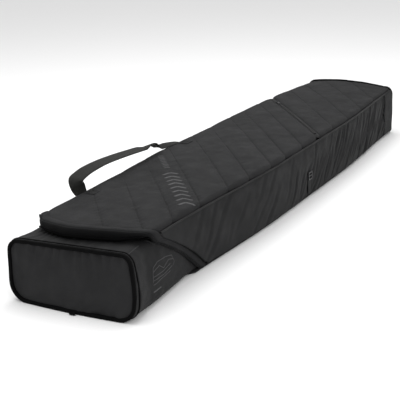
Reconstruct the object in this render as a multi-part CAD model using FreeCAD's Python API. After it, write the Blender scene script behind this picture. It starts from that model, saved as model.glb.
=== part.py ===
import FreeCAD, Part
import math
import os

from FreeCAD import Vector

# A padded ski bag that lies on its base. Millimetres. X runs along the bag with the nose at -X,
# the carry handle is on the +Y edge, Z is up. The origin is the middle of the base's underside.

# ---- Driving dimensions -------------------------------------------------------------------
HALF_LENGTH = 950.0  # the bag is 1.90 m long
NOSE_HALF = 160.0  # half width of the nose's end face
CAP_HALF = 152.0  # half width of the nose cap where the hood overlaps it
MOUTH_HALF = 160.0  # half width of the main tube at its mouth
BELLY_HALF = 183.0  # half width of the main tube at its widest
TAIL_HALF = 159.0  # half width at the tail end
NOSE_RAMP = (-760.0, -150.0)  # where the plan widens from mouth to belly
TAIL_RAMP = (350.0, 947.0)  # where the plan narrows from belly to tail
CAP_HEIGHT = 150.0
MAIN_HEIGHT = 172.0
TAIL_HEIGHT = 166.0
TAIL_DROP_X = 600.0  # behind this the top slopes down to the tail height
NOSE_CORNERS = (36.0, 28.0)  # bottom and top corner radii of the nose face
NOSE_LEAN = 10.0  # the nose face's foot stands this far ahead of its top
MAIN_CORNERS = (13.0, 13.0)  # bottom and top corner radii of the main tube

SKIN = 4.0  # quilted outer fabric with its wadding
FOAM = 5.8  # closed-cell foam boards
POUCH = 1.2  # room for the pocket's pouch above the top foam board
LINING = 1.0
GAP = 0.2  # between layers of one body
CLEAR = 0.5  # between pieces that move past each other
SEAM_Z = 160.0  # the seam between side panels and top panels

FREE_EDGE = (-644.0, 22.0)  # x and z of the storm flap's free edge at its lower end
MOUTH_SLOPE = 1.65  # the mouth plane leans this many mm towards the nose per mm of height
FLAP_WIDTH = 40.0  # from the free edge back to the seam, along X
CAP_OVERLAP = 18.0  # how far the cap reaches back under the flap
COIL_WIDTH = 3.5  # one half of the zip's coil
COIL_GAP = 1.0
COIL_HEIGHT = 2.6
TAPE_WIDTH = 16.0
FACING = (56.0, 60.0)  # the strip that joins the hood's zip tape to the hood
ZIP_OPEN_Z = 96.0  # the zip opens down to this height on both sides

FOLD_X = -680.0  # the hood folds up about this line

POCKET_START = (545.0, 125.0)  # left end of the pocket zip
POCKET_END = (174.0, -158.0)  # right end of the pocket zip
POCKET_BAND = 14.0  # width of the groove that the pocket zip lies in

HANDLE_X = (-636.0, -85.0)  # the handle's two anchors
HANDLE_WEBBING = 38.0
HANDLE_THICK = 3.0
HANDLE_INSET = 4.0  # anchors lie this far inside the bag's edge
HANDLE_LIFT = 5.0  # height of the handle's hinge line above the top
HANDLE_LEAN = 15.0  # degrees outward from upright
HANDLE_LEG = 28.0
HANDLE_RISE = 50.0

PIPING_R = 2.2
BINDING = 3.0
STRAP_X = (-350.0, 350.0)  # the two inner hold-down straps
STRAP_WIDTH = 25.0
STRAP_REACH = 132.0  # the hold-down straps run this far to each side
BUCKLE_X = 62.0  # the small strap and buckle on the right side
FOAM_FRONT = (69.0, 44.0)  # base and side foam start this far behind the flap's lower end
FOAM_BACK = 12.0  # the foam boards end this far ahead of the tail's face
FOAM_EDGE = 24.0  # the side boards stay this far from the base and from the top seam
BOARD_DEPTH = 12.0  # the top boards' turned edges reach this far below the top seam
TAIL_PATCH = (845.0, 100.0)  # the tail's side patches start at this x and this |y|
TAIL_PATCH_Z = (26.0, 142.0)
TAIL_TAB = (112.0, 132.0)  # |y| of the tail's two webbing tabs
NOSE_TAB = (-14.0, 4.0)  # y of the nose's webbing tab
TAB_Z = (1.0, 4.5)  # height of those three tabs
FAR = 2500.0  # larger than the bag, for cutting


# ---- Shapes used throughout ---------------------------------------------------------------
def box(x0, x1, y0, y1, z0, z1):
    return Part.makeBox(x1 - x0, y1 - y0, z1 - z0, Vector(x0, y0, z0))


def cylinder(radius, length, start, direction):
    return Part.makeCylinder(radius, length, Vector(*start), Vector(*direction))


def smooth(t):
    t = min(max(t, 0.0), 1.0)
    return t * t * (3.0 - 2.0 * t)


def main_half(x):
    """Half width of the main tube: widest at the belly, narrower at mouth and tail."""
    if x < NOSE_RAMP[1]:
        t = (x - NOSE_RAMP[0]) / (NOSE_RAMP[1] - NOSE_RAMP[0])
        return MOUTH_HALF + (BELLY_HALF - MOUTH_HALF) * smooth(t)
    t = (x - TAIL_RAMP[0]) / (TAIL_RAMP[1] - TAIL_RAMP[0])
    return BELLY_HALF - (BELLY_HALF - TAIL_HALF) * smooth(t)


def main_height(x):
    t = (x - TAIL_DROP_X) / (HALF_LENGTH - TAIL_DROP_X)
    return MAIN_HEIGHT - (MAIN_HEIGHT - TAIL_HEIGHT) * smooth(t)


def outline(x, half, height, corners, inset, lean=0.0):
    """A closed outline across the bag: a rectangle on the floor with rounded corners.

    Its foot lies `lean` nearer to the nose than its top.
    """
    side = half - inset
    low = inset
    high = height - inset
    r0 = max(corners[0] - inset, 1.0)
    r1 = max(corners[1] - inset, 1.0)
    bend = 1.0 - math.sqrt(0.5)

    def at(y, z):
        return Vector(x - lean * (1.0 - z / height), y, z)

    edges = [
        Part.LineSegment(at(-side + r0, low), at(side - r0, low)),
        Part.Arc(at(side - r0, low), at(side - r0 * bend, low + r0 * bend), at(side, low + r0)),
        Part.LineSegment(at(side, low + r0), at(side, high - r1)),
        Part.Arc(at(side, high - r1), at(side - r1 * bend, high - r1 * bend), at(side - r1, high)),
        Part.LineSegment(at(side - r1, high), at(-side + r1, high)),
        Part.Arc(at(-side + r1, high), at(-side + r1 * bend, high - r1 * bend), at(-side, high - r1)),
        Part.LineSegment(at(-side, high - r1), at(-side, low + r0)),
        Part.Arc(at(-side, low + r0), at(-side + r0 * bend, low + r0 * bend), at(-side + r0, low)),
    ]
    return Part.Wire([edge.toShape() for edge in edges])


NOSE_FACE_X = -HALF_LENGTH + SKIN
TAIL_FACE_X = HALF_LENGTH - SKIN
MAIN_STATIONS = [-930.0, -760.0, FOLD_X, -600.0, -500.0, -400.0, -280.0, -150.0, 350.0, 500.0, 620.0,
                 740.0, 850.0, TAIL_FACE_X]
CAP_NECK_X = -885.0  # behind this the cap keeps one width


def main_tube(inset, ends=(0.0, 0.0)):
    """The solid inside the main tube's walls, its ends moved in by the given amounts."""
    places = list(MAIN_STATIONS)
    places[0] += ends[0]
    places[-1] -= ends[1]
    wires = [outline(x, main_half(x), main_height(x), MAIN_CORNERS, inset) for x in places]
    return Part.makeLoft(wires, True, True)


def cap_tube(inset, ends=(0.0, 0.0)):
    """The solid inside the nose cap's walls. It runs back to where the base takes over."""
    back = FREE_EDGE[0] + 60.0
    wires = [
        outline(NOSE_FACE_X + ends[0], NOSE_HALF, CAP_HEIGHT - 2.0, NOSE_CORNERS, inset, NOSE_LEAN),
        outline(CAP_NECK_X, CAP_HALF, CAP_HEIGHT, (24.0, 20.0), inset),
        outline(back - ends[1], CAP_HALF, CAP_HEIGHT, (16.0, 13.0), inset),
    ]
    return Part.makeLoft(wires, True, True)


def mouth_x(shift, z):
    """X of the leaning mouth plane at height z, moved back along the bag by shift."""
    return FREE_EDGE[0] + shift - MOUTH_SLOPE * (z - FREE_EDGE[1])


def leaning(shift0, shift1):
    """The block between two planes parallel to the mouth."""
    low, high = -20.0, 280.0
    corners = [
        Vector(mouth_x(shift0, low), -FAR, low),
        Vector(mouth_x(shift1, low), -FAR, low),
        Vector(mouth_x(shift1, high), -FAR, high),
        Vector(mouth_x(shift0, high), -FAR, high),
    ]
    face = Part.Face(Part.makePolygon(corners + corners[:1]))
    return face.extrude(Vector(0, 2 * FAR, 0))


AHEAD_OF_MOUTH = -FAR
BEHIND_MOUTH = FAR
LEFT = 1.0
RIGHT = -1.0


def region(x0=-FAR, x1=FAR, y0=-FAR, y1=FAR, z0=-FAR, z1=FAR):
    return box(x0, x1, y0, y1, z0, z1)


def common(first, *others):
    shape = first
    for other in others:
        shape = shape.common(other)
    return shape


def tidy(shape):
    """One solid, or a group of separate solids."""
    solids = [solid for solid in shape.Solids if solid.Volume > 1.0]
    if len(solids) == 1:
        return solids[0]
    return Part.makeCompound(solids)


def save(name, shape):
    shape = tidy(shape)
    shape.exportStep(os.path.join("parts", name + ".step"))
    print("%-24s %2d solids %10.1f mm3" % (name, len(shape.Solids), shape.Volume))


# ---- Walls of the main tube ---------------------------------------------------------------
def layer(tube, outer, inner, ends=(0.0, 0.0)):
    """One layer of a tube's wall, open at both ends."""
    return tube(outer, ends).cut(tube(inner, (ends[0] - 5.0, ends[1] - 5.0)))


def pocket_frame():
    """Start point, unit vector along the pocket zip, unit vector across it, and its length."""
    start = Vector(POCKET_START[0], POCKET_START[1], 0)
    end = Vector(POCKET_END[0], POCKET_END[1], 0)
    along = (end - start).normalize()
    across = Vector(-along.y, along.x, 0)
    return start, along, across, (end - start).Length


def diagonal_block(before, after, near, far, z0, z1):
    """A block laid along the pocket zip: from `before` ahead of its start to `after` past its end."""
    start, along, across, length = pocket_frame()
    corners = [
        start - along * before + across * near,
        start + along * (length + after) + across * near,
        start + along * (length + after) + across * far,
        start - along * before + across * far,
    ]
    corners = [Vector(c.x, c.y, z0) for c in corners]
    face = Part.Face(Part.makePolygon(corners + corners[:1]))
    return face.extrude(Vector(0, 0, z1 - z0))


def build_main_walls(skin):
    hood_side = region(x1=FOLD_X - CLEAR)
    bag_side = region(x0=FOLD_X)
    behind_seam = leaning(FLAP_WIDTH, BEHIND_MOUTH)
    walls = common(skin, behind_seam)
    fixed = common(walls, bag_side)
    upper = common(fixed, region(z0=SEAM_Z))
    lower = common(fixed, region(z0=SKIN, z1=SEAM_Z))
    save("side_panel_left", common(lower, region(y0=0)))
    save("side_panel_right", common(lower, region(y1=0)))
    half_band = POCKET_BAND / 2.0
    tail_ward = diagonal_block(FAR, FAR, half_band, FAR, -FAR, FAR)
    nose_ward = diagonal_block(FAR, FAR, -FAR, -half_band, -FAR, FAR)
    save("top_panel_front", common(upper, nose_ward))
    save("top_panel_rear", common(upper, tail_ward))
    lifted = common(walls, hood_side)
    save("hood_top_panel", common(lifted, region(z0=SEAM_Z)))
    cheeks = common(lifted, region(z1=SEAM_Z))
    save("hood_cheek_left", common(cheeks, region(y0=0)))
    save("hood_cheek_right", common(cheeks, region(y1=0)))
    band = common(skin, leaning(0.0, FLAP_WIDTH), region(z0=SKIN))
    save("storm_flap", common(band, hood_side))
    save("flap_ends", common(band, bag_side))


def build_base(skin, cap_skin):
    floor = region(z1=SKIN)
    front = common(cap_skin, floor, region(x1=FREE_EDGE[0]))
    rear = common(skin, floor, region(x0=FREE_EDGE[0]))
    save("base_panel", front.fuse(rear).removeSplitter())


def build_foam_and_lining():
    """Foam boards inside the skin, and the lining inside them. They start behind the nose cap."""
    outer = SKIN + GAP
    inner = outer + FOAM
    base_front = FREE_EDGE[0] + FOAM_FRONT[0]
    side_front = FREE_EDGE[0] + FOAM_FRONT[1]
    back = TAIL_FACE_X - FOAM_BACK
    foam = layer(main_tube, outer, inner, (0.0, outer))
    save("base_foam_board", common(foam, region(base_front, back, z1=inner - 0.01)))
    sides = common(foam, region(side_front, back, z0=FOAM_EDGE, z1=SEAM_Z - FOAM_EDGE))
    save("side_foam_left", common(sides, region(y0=0)))
    save("side_foam_right", common(sides, region(y1=0)))
    under_top = SEAM_Z - BOARD_DEPTH
    top_foam = layer(main_tube, outer + POUCH, inner, (0.0, outer))
    save("top_foam_board", common(top_foam, region(FOLD_X, back, z0=under_top)))
    clear_of_cheeks = region(y0=FOAM_EDGE - MOUTH_HALF, y1=MOUTH_HALF - FOAM_EDGE)
    behind_facing = leaning(FACING[1] + 1.0, BEHIND_MOUTH)
    ahead = common(foam, behind_facing, region(x1=FOLD_X - CLEAR, z0=under_top))
    save("hood_foam_board", common(ahead, clear_of_cheeks))
    lining = layer(main_tube, inner + GAP, inner + GAP + LINING, (0.0, FOAM_BACK))
    save("lining", common(lining, region(x0=base_front)))


def build_tail():
    x = TAIL_FACE_X
    core = outline(x, main_half(x), TAIL_HEIGHT, MAIN_CORNERS, BINDING)
    save("tail_end_panel", Part.Face(core).extrude(Vector(SKIN, 0, 0)))
    rim = outline(x, main_half(x) + BINDING - 1.0, TAIL_HEIGHT + BINDING - 1.0, MAIN_CORNERS, 0.0)
    ring = Part.Face(rim).extrude(Vector(SKIN + 1.0, 0, 0))
    hole = outline(x - 1.0, main_half(x), TAIL_HEIGHT, MAIN_CORNERS, BINDING)
    ring = ring.cut(Part.Face(hole).extrude(Vector(SKIN + 4.0, 0, 0)))
    save("tail_binding", ring)
    pad = outline(x - 10.0, main_half(x), TAIL_HEIGHT, MAIN_CORNERS, SKIN + GAP)
    save("tail_foam_pad", Part.Face(pad).extrude(Vector(9.5, 0, 0)))
    patches = []
    outer = layer(main_tube, -1.5, -GAP)
    for side in (LEFT, RIGHT):
        y = sorted((side * TAIL_PATCH[1], side * FAR))
        patches.append(common(outer, region(TAIL_PATCH[0], x - 1.0, y[0], y[1], *TAIL_PATCH_Z)))
    save("tail_side_patches", Part.makeCompound(patches))
    tabs = []
    for side in (LEFT, RIGHT):
        y = sorted((side * TAIL_TAB[0], side * TAIL_TAB[1]))
        tabs.append(box(HALF_LENGTH + 1.2, HALF_LENGTH + 10.0, y[0], y[1], *TAB_Z))
    save("tail_bottom_tabs", Part.makeCompound(tabs))


def piping(side, x0, x1):
    """A round cord along the seam between side and top."""
    places = [x0] + [x for x in MAIN_STATIONS if x0 + 5.0 < x < x1 - 5.0] + [x1]
    wires = []
    for x in places:
        y = side * (main_half(x) + PIPING_R + GAP)
        circle = Part.makeCircle(PIPING_R, Vector(x, y, SEAM_Z), Vector(1, 0, 0))
        wires.append(Part.Wire([circle]))
    return Part.makeLoft(wires, True, True)


def build_piping():
    for side, name in ((LEFT, "left"), (RIGHT, "right")):
        save("piping_" + name, piping(side, FOLD_X, MAIN_STATIONS[-2]))
    hood_front = mouth_x(FLAP_WIDTH + 4.0, SEAM_Z)
    hood = [piping(side, hood_front, FOLD_X - CLEAR) for side in (LEFT, RIGHT)]
    save("hood_piping", Part.makeCompound(hood))


# ---- Nose cap -----------------------------------------------------------------------------
def build_nose(cap_skin):
    ahead = leaning(AHEAD_OF_MOUTH, CAP_OVERLAP)
    save("nose_sleeve", common(cap_skin, ahead, region(z0=SKIN)))
    x = NOSE_FACE_X
    height = CAP_HEIGHT - 2.0
    face = outline(x - SKIN, NOSE_HALF, height, NOSE_CORNERS, BINDING, NOSE_LEAN)
    save("nose_end_panel", Part.Face(face).extrude(Vector(SKIN, 0, 0)))
    rim = outline(x - SKIN - 1.0, NOSE_HALF, height, NOSE_CORNERS, 0.0, NOSE_LEAN)
    ring = Part.Face(rim).extrude(Vector(SKIN + 1.0, 0, 0))
    hole = outline(x - SKIN - 2.0, NOSE_HALF, height, NOSE_CORNERS, BINDING, NOSE_LEAN)
    save("nose_binding", ring.cut(Part.Face(hole).extrude(Vector(SKIN + 6.0, 0, 0))))
    pad = outline(x, NOSE_HALF - 4.0, height, NOSE_CORNERS, SKIN + 2.0, NOSE_LEAN)
    save("nose_foam_pad", Part.Face(pad).extrude(Vector(9.0, 0, 0)))
    inner = SKIN + 1.6
    shell = layer(cap_tube, inner, inner + LINING)
    save("nose_lining", common(shell, leaning(AHEAD_OF_MOUTH, CAP_OVERLAP), region(x0=x + 16.0)))
    tab_back = x - SKIN - 1.2 - NOSE_LEAN
    save("nose_pull_tab", box(tab_back - 7.8, tab_back, *NOSE_TAB, *TAB_Z))


def build_mouth_zip():
    """Two halves of a coil zip that follow the cap's rear edge under the storm flap."""
    tape = layer(cap_tube, -1.0, -GAP)
    coil = layer(cap_tube, -COIL_HEIGHT, -GAP)
    above_base = region(z0=SKIN + 2.0)
    cap_edge = CAP_OVERLAP
    cap_coil = leaning(cap_edge - COIL_WIDTH, cap_edge)
    cap_tape = leaning(cap_edge - COIL_WIDTH - TAPE_WIDTH, cap_edge - COIL_WIDTH - GAP)
    save("cap_zip_tape", common(tape, cap_tape, above_base))
    save("cap_zip_coil", common(coil, cap_coil, above_base))
    hood_start = cap_edge + COIL_GAP
    hood_coil = leaning(hood_start, hood_start + COIL_WIDTH)
    hood_tape = leaning(hood_start + COIL_WIDTH + GAP, FACING[1])
    opens = region(x1=FOLD_X - CLEAR, z0=ZIP_OPEN_Z)
    stays = region(z0=SKIN + 2.0, z1=ZIP_OPEN_Z - 1.0)
    save("hood_zip_tape", common(tape, hood_tape, opens))
    save("hood_zip_coil", common(coil, hood_coil, opens))
    ends = common(layer(cap_tube, -COIL_HEIGHT + 0.6, -GAP), leaning(hood_start, FLAP_WIDTH), stays)
    save("zip_ends", ends)
    between = main_tube(SKIN + GAP).cut(cap_tube(-1.0 - GAP))
    save("mouth_facing", common(between, leaning(*FACING), opens))


# ---- Zip sliders and their pulls ----------------------------------------------------------
EYE_HEIGHT = 2.0  # the pull's pin above the slider's top
EYE_R = 1.3
PIN_R = 1.0
BRIDGE_HALF = 1.4  # half width of the bridge that the pull's pin goes through


def slider_body(length, height, sides, channel, channel_height):
    """A slider that travels along X, from y = sides[0] to sides[1], its channel open below."""
    shell = box(-length / 2, length / 2, sides[0], sides[1], 0.0, height)
    body = shell.cut(region(y0=channel[0], y1=channel[1], z1=channel_height))
    bridge = box(-length / 4, length / 4, -BRIDGE_HALF, BRIDGE_HALF, height, height + 2.1 * EYE_HEIGHT)
    eye = cylinder(EYE_R, 10.0, (0.0, -5.0, height + EYE_HEIGHT), (0, 1, 0))
    return body.fuse(bridge).cut(eye)


def pull_tab(length, width):
    """A pull whose pin lies along Y in the bridge's eye, and whose blade lies along -X."""
    half = width / 2.0
    pin = cylinder(PIN_R, width, (0.0, -half, 0.0), (0, 1, 0))
    blade = box(-length, 1.0, -half, half, -0.9, 0.9)
    blade = blade.cut(box(-7.5, FAR, -2.2, 2.2, -FAR, FAR))
    hole = cylinder(1.6, 10.0, (-length + 4.0, 0.0, -5.0), (0, 0, 1))
    return blade.cut(hole).fuse(pin)


def placed(shape, angle, place):
    shape.rotate(Vector(), Vector(0, 0, 1), angle)
    shape.translate(Vector(*place))
    return shape


MOUTH_SLIDER_X = -847.0
MOUTH_SLIDER_Y = 10.0
MOUTH_SLIDER_Z = 151.4
MOUTH_SLIDER_TALL = 6.0


def build_mouth_sliders():
    """Two sliders head to head in the middle of the zip's top run, each on the cap's half."""
    for side, name in ((LEFT, "left"), (RIGHT, "right")):
        place = (MOUTH_SLIDER_X, side * MOUTH_SLIDER_Y, MOUTH_SLIDER_Z)
        hoodward = sorted((side * 1.2, side * FAR))
        sides = sorted((-side * 5.6, side * 4.6))
        slider = slider_body(13.0, MOUTH_SLIDER_TALL, sides, hoodward, 1.7)
        save("mouth_slider_" + name, placed(slider, -side * 90.0, place))
        pin = (place[0], place[1], place[2] + MOUTH_SLIDER_TALL + EYE_HEIGHT)
        save("mouth_pull_" + name, placed(pull_tab(20.0, 7.0), -side * 90.0, pin))


POCKET_SLIDER_Z = MAIN_HEIGHT - 1.8
POCKET_SLIDER_TALL = 4.4
POCKET_PARK = 16.0  # the slider rests this far from the start of the zip
POCKET_TAPE = (3.0, 2.0)  # the tape's underside and its upper face lie this far below the top
POCKET_COIL = (6.0, 1.4)  # width and height above the tape
STOP_HALF = 4.0  # half width of the metal stops at the zip's ends


def build_pocket():
    start, along, across, length = pocket_frame()
    top = MAIN_HEIGHT
    half = POCKET_BAND / 2.0 - GAP
    on_tape = top - POCKET_TAPE[1]
    tape = diagonal_block(60.0, 60.0, -half, half, top - POCKET_TAPE[0], on_tape)
    save("pocket_zip_tape", common(tape, main_tube(2.0)))
    coil_half = POCKET_COIL[0] / 2
    coil = diagonal_block(-6.0, -6.0, -coil_half, coil_half, on_tape, on_tape + POCKET_COIL[1])
    save("pocket_zip_coil", coil)
    stops = []
    for before, after in ((1.0, -length - 5.0 + 0.5), (-length - 5.0 + 0.5, 1.0)):
        stops.append(diagonal_block(before, after, -STOP_HALF, STOP_HALF, on_tape, top + 0.6))
    save("pocket_zip_stops", Part.makeCompound(stops))
    angle = math.degrees(math.atan2(along.y, along.x))
    slider = slider_body(14.0, POCKET_SLIDER_TALL, (-5.0, 5.0), (-3.5, 3.5), 2.2)
    place = start + along * POCKET_PARK
    save("pocket_slider", placed(slider, angle, (place.x, place.y, POCKET_SLIDER_Z)))
    eye = POCKET_SLIDER_Z + POCKET_SLIDER_TALL + EYE_HEIGHT
    save("pocket_pull", placed(pull_tab(34.0, 8.0), angle + 180.0, (place.x, place.y, eye)))
    pouch = diagonal_block(-12.0, -12.0, -120.0, 20.0, top - SKIN - 1.2, top - SKIN - GAP)
    save("pocket_pouch", common(pouch, main_tube(SKIN + GAP)))


# ---- Carry handle, grab loop and straps ---------------------------------------------------
def handle_frame():
    """The hinge line from the near anchor to the far one, and the handle's upright direction."""
    ends = []
    for x in HANDLE_X:
        ends.append(Vector(x, main_half(x) - HANDLE_INSET, main_height(x) + HANDLE_LIFT))
    along = (ends[1] - ends[0]).normalize()
    lean = math.radians(HANDLE_LEAN)
    outward = Vector(-along.y, along.x, 0)
    upright = outward * math.sin(lean) + Vector(0, 0, math.cos(lean))
    return ends[0], along, upright, (ends[1] - ends[0]).Length


def build_handle():
    origin, along, upright, span = handle_frame()
    normal = along.cross(upright)
    half = HANDLE_WEBBING / 2.0
    pieces = []

    def at(distance, rise):
        return origin + along * distance + upright * rise

    def band_edge(offset):
        """The handle's arch, seen square on, moved up by offset."""
        return Part.Arc(
            at(-half, HANDLE_LEG + offset),
            at(span * 0.42, HANDLE_RISE + offset),
            at(span + half, HANDLE_LEG + offset),
        )

    low = band_edge(0.0)
    high = band_edge(HANDLE_THICK)
    ends = (
        Part.LineSegment(at(span + half, HANDLE_LEG), at(span + half, HANDLE_LEG + HANDLE_THICK)),
        Part.LineSegment(at(-half, HANDLE_LEG + HANDLE_THICK), at(-half, HANDLE_LEG)),
    )
    wire = Part.Wire([low.toShape(), ends[0].toShape(), high.toShape(), ends[1].toShape()])
    face = Part.Face(wire)
    face.translate(normal * -half)
    pieces.append(face.extrude(normal * HANDLE_WEBBING))
    for distance in (0.0, span):
        corners = [
            at(distance - half, 0.0),
            at(distance + half, 0.0),
            at(distance + half, HANDLE_LEG + HANDLE_THICK),
            at(distance - half, HANDLE_LEG + HANDLE_THICK),
        ]
        leg = Part.Face(Part.makePolygon(corners + corners[:1]))
        leg.translate(normal * (-HANDLE_THICK / 2.0))
        pieces.append(leg.extrude(normal * HANDLE_THICK))
    save("carry_handle", pieces[0].fuse(pieces[1:]))
    patches = []
    for x in HANDLE_X:
        y = main_half(x) - 18.0
        top = main_height(x)
        patches.append(box(x - half, x + half, y - 32.0, y, top + GAP, top + 1.6))
    save("handle_anchor_patches", Part.makeCompound(patches))


LOOP_TOP = (957.5, 138.0)  # x and z of the grab loop's hinge
LOOP_WIDTH = 25.0


def build_tail_loop():
    """A doubled webbing loop that hangs on the tail's end face."""
    x, z = LOOP_TOP
    thick, drop, depth = 2.0, 86.0, 12.0
    outer = box(x - 2.5, x - 2.5 + depth, -LOOP_WIDTH / 2, LOOP_WIDTH / 2, z - drop, z - 4.0)
    inner = box(x - 0.5, x - 4.5 + depth, -FAR, FAR, z - drop + thick, z - 4.0 - thick)
    tongue = box(x - 1.5, x + 1.5, -LOOP_WIDTH / 2, LOOP_WIDTH / 2, z - 4.0, z + 1.5)
    save("tail_grab_loop", outer.cut(inner).fuse(tongue))
    anchor = box(HALF_LENGTH + 0.2, HALF_LENGTH + 2.2, -LOOP_WIDTH / 2, LOOP_WIDTH / 2, z + 2.5, z + 20.0)
    save("tail_loop_anchor", anchor)


SIDE_STRAP = (20.0, 1.5)  # width and thickness
SIDE_BUCKLE_Z = 60.0


def build_side_strap():
    """A short strap that comes up from the base seam on the right, with a ladder buckle."""
    half, thick = SIDE_STRAP[0] / 2.0, SIDE_STRAP[1]
    face = -main_half(BUCKLE_X)
    strap = box(BUCKLE_X - half, BUCKLE_X + half, face - GAP - thick, face - GAP, 14.0, 84.0)
    save("side_strap", strap)
    y1 = face - GAP - thick - CLEAR
    frame = box(BUCKLE_X - 14.0, BUCKLE_X + 14.0, y1 - 4.0, y1, SIDE_BUCKLE_Z - 3.0, SIDE_BUCKLE_Z + 21.0)
    for low in (1.0, 11.0):
        z0 = SIDE_BUCKLE_Z + low
        frame = frame.cut(box(BUCKLE_X - 10.5, BUCKLE_X + 10.5, -FAR, FAR, z0, z0 + 7.0))
    save("side_buckle", frame)


SOCKET = (-62.0, -22.0)  # the hold-down buckle's socket along Y
SOCKET_HALF = 17.0
SOCKET_FLOOR = 11.6
WEBBING = 1.5
PRONGS = (-11.5, 0.0, 11.5)


def build_hold_downs():
    """Two straps across the floor, each with a side-release buckle."""
    floor = SOCKET_FLOOR
    half = STRAP_WIDTH / 2.0
    sockets, webbings = [], []
    for x in STRAP_X:
        socket = box(x - SOCKET_HALF, x + SOCKET_HALF, SOCKET[0], SOCKET[1], floor, floor + 10.0)
        socket = socket.cut(box(x - 14.5, x + 14.5, SOCKET[0] + 6.0, FAR, floor + 2.0, floor + 8.5))
        tail = box(x - half, x + half, -STRAP_REACH, SOCKET[0], floor, floor + WEBBING)
        sockets.append(socket.fuse(tail))
        flat = box(x - half, x + half, -4.0, 108.0, floor + 2.0, floor + 2.0 + WEBBING)
        foot = box(x - half, x + half, 108.0, STRAP_REACH, floor, floor + 2.0 + WEBBING)
        webbings.append(flat.fuse(foot))
    save("hold_down_sockets", Part.makeCompound(sockets))
    save("hold_down_webbing", Part.makeCompound(webbings))
    for x, name in zip(STRAP_X, ("front", "rear")):
        sleeve = box(x - SOCKET_HALF, x + SOCKET_HALF, SOCKET[1] + 1.0, 14.0, floor + 0.5, floor + 9.0)
        sleeve = sleeve.cut(region(x - half - 1.0, x + half + 1.0, z0=floor + 1.4, z1=floor + 4.2))
        prongs = []
        for offset in PRONGS:
            low, high = x + offset - 2.2, x + offset + 2.2
            prongs.append(box(low, high, SOCKET[0] + 12.0, SOCKET[1] + 1.0, floor + 5.2, floor + 7.8))
        save("hold_down_tongue_" + name, sleeve.fuse(prongs))


def main():
    os.makedirs("parts", exist_ok=True)
    skin = layer(main_tube, 0.0, SKIN)
    cap_skin = layer(cap_tube, 0.0, SKIN)
    build_base(skin, cap_skin)
    build_main_walls(skin)
    build_foam_and_lining()
    build_tail()
    build_piping()
    build_nose(cap_skin)
    build_mouth_zip()
    build_mouth_sliders()
    build_pocket()
    build_handle()
    build_tail_loop()
    build_side_strap()
    build_hold_downs()


main()
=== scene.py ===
import math
import random

import bmesh
import bpy
import numpy as np
from mathutils import Matrix, Vector, noise
from mathutils.bvhtree import BVHTree


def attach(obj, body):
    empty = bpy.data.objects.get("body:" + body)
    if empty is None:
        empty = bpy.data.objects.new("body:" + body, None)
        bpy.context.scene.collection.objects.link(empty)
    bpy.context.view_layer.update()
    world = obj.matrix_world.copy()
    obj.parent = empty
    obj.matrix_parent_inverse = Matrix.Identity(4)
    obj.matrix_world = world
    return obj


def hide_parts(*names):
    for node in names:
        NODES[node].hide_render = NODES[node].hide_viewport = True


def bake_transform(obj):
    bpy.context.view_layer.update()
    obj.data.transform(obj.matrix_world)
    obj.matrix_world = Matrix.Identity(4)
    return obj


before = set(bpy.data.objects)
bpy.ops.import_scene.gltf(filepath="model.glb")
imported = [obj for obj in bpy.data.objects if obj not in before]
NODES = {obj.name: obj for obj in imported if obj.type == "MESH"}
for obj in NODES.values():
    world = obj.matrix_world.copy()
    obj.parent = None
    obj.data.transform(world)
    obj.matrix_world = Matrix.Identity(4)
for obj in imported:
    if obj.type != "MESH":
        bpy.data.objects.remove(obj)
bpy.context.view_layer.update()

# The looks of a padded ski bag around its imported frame. Metres. X runs from the nose to the tail,
# +Y is the edge with the carry handle, Z is up and the bag lies on z = 0.
LEFT, RIGHT = 1.0, -1.0
AHEAD = np.array([1.0, 0.0, 0.0])
ACROSS = np.array([0.0, 1.0, 0.0])
UP = np.array([0.0, 0.0, 1.0])

# ---- Dimensions shared with the frame -----------------------------------------------------
MOUTH_HALF = 0.160  # half widths of the tube at its mouth, belly and tail
BELLY_HALF = 0.183
TAIL_HALF = 0.159
NOSE_RAMP = (-0.760, -0.150)  # it widens and narrows over these stretches of X
TAIL_RAMP = (0.350, 0.947)
MAIN_HEIGHT = 0.172
TAIL_HEIGHT = 0.166
TAIL_DROP = (0.600, 0.950)  # the top comes down over this stretch of X
NOSE_FACE = (0.163, 0.150, 0.036, 0.028)  # half width, height, bottom and top corner radii
NOSE_YAW = 0.030  # its left edge stands ahead of its right edge by this share of the distance
NOSE_FOOT = (0.026, -0.085, -0.30)  # its foot lies this far ahead, as a curve over Y
SPLAY = (0.018, 0.008)  # its foot spreads this far to the right on both sides, right and left
CAP_NECK = (0.152, 0.150, 0.024, 0.020)  # the same four behind the nose face and at the cap's rear edge
CAP_BACK = (0.152, 0.150, 0.016, 0.013)
CAP_NECK_X = -0.885
CAP_BACK_X = -0.584
END_X = 0.946  # both end faces stand this far from the middle
CORNER = 0.013
SKIN = 0.004
FOAM = 0.0058
SEAM_Z = 0.160  # the top is sewn to the sides at this height
FREE_EDGE = (-0.644, 0.022)  # x and z of a point on the flap's front edge, near the floor
MOUTH_SLOPE = 1.65  # the mouth leans this far ahead per metre of height
FLAP_WIDTH = 0.040
CAP_OVERLAP = 0.018  # the cap runs on this far under the flap
FOLD_X = -0.680
POCKET_START = (0.545, 0.125)  # x and y of the pocket zip's two ends
POCKET_END = (0.174, -0.158)
POCKET_BAND = 0.014
PIPING_R = 0.0022
HANDLE_X = (-0.636, -0.085)  # where the carry handle is sewn on
STRAP_X = (-0.350, 0.350)  # the two hold-down straps
BUCKLE_X = 0.062
ZIP_OPEN_Z = 0.096  # the mouth zip opens down to this height
ZIP_LOW_Z = 0.006

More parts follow.
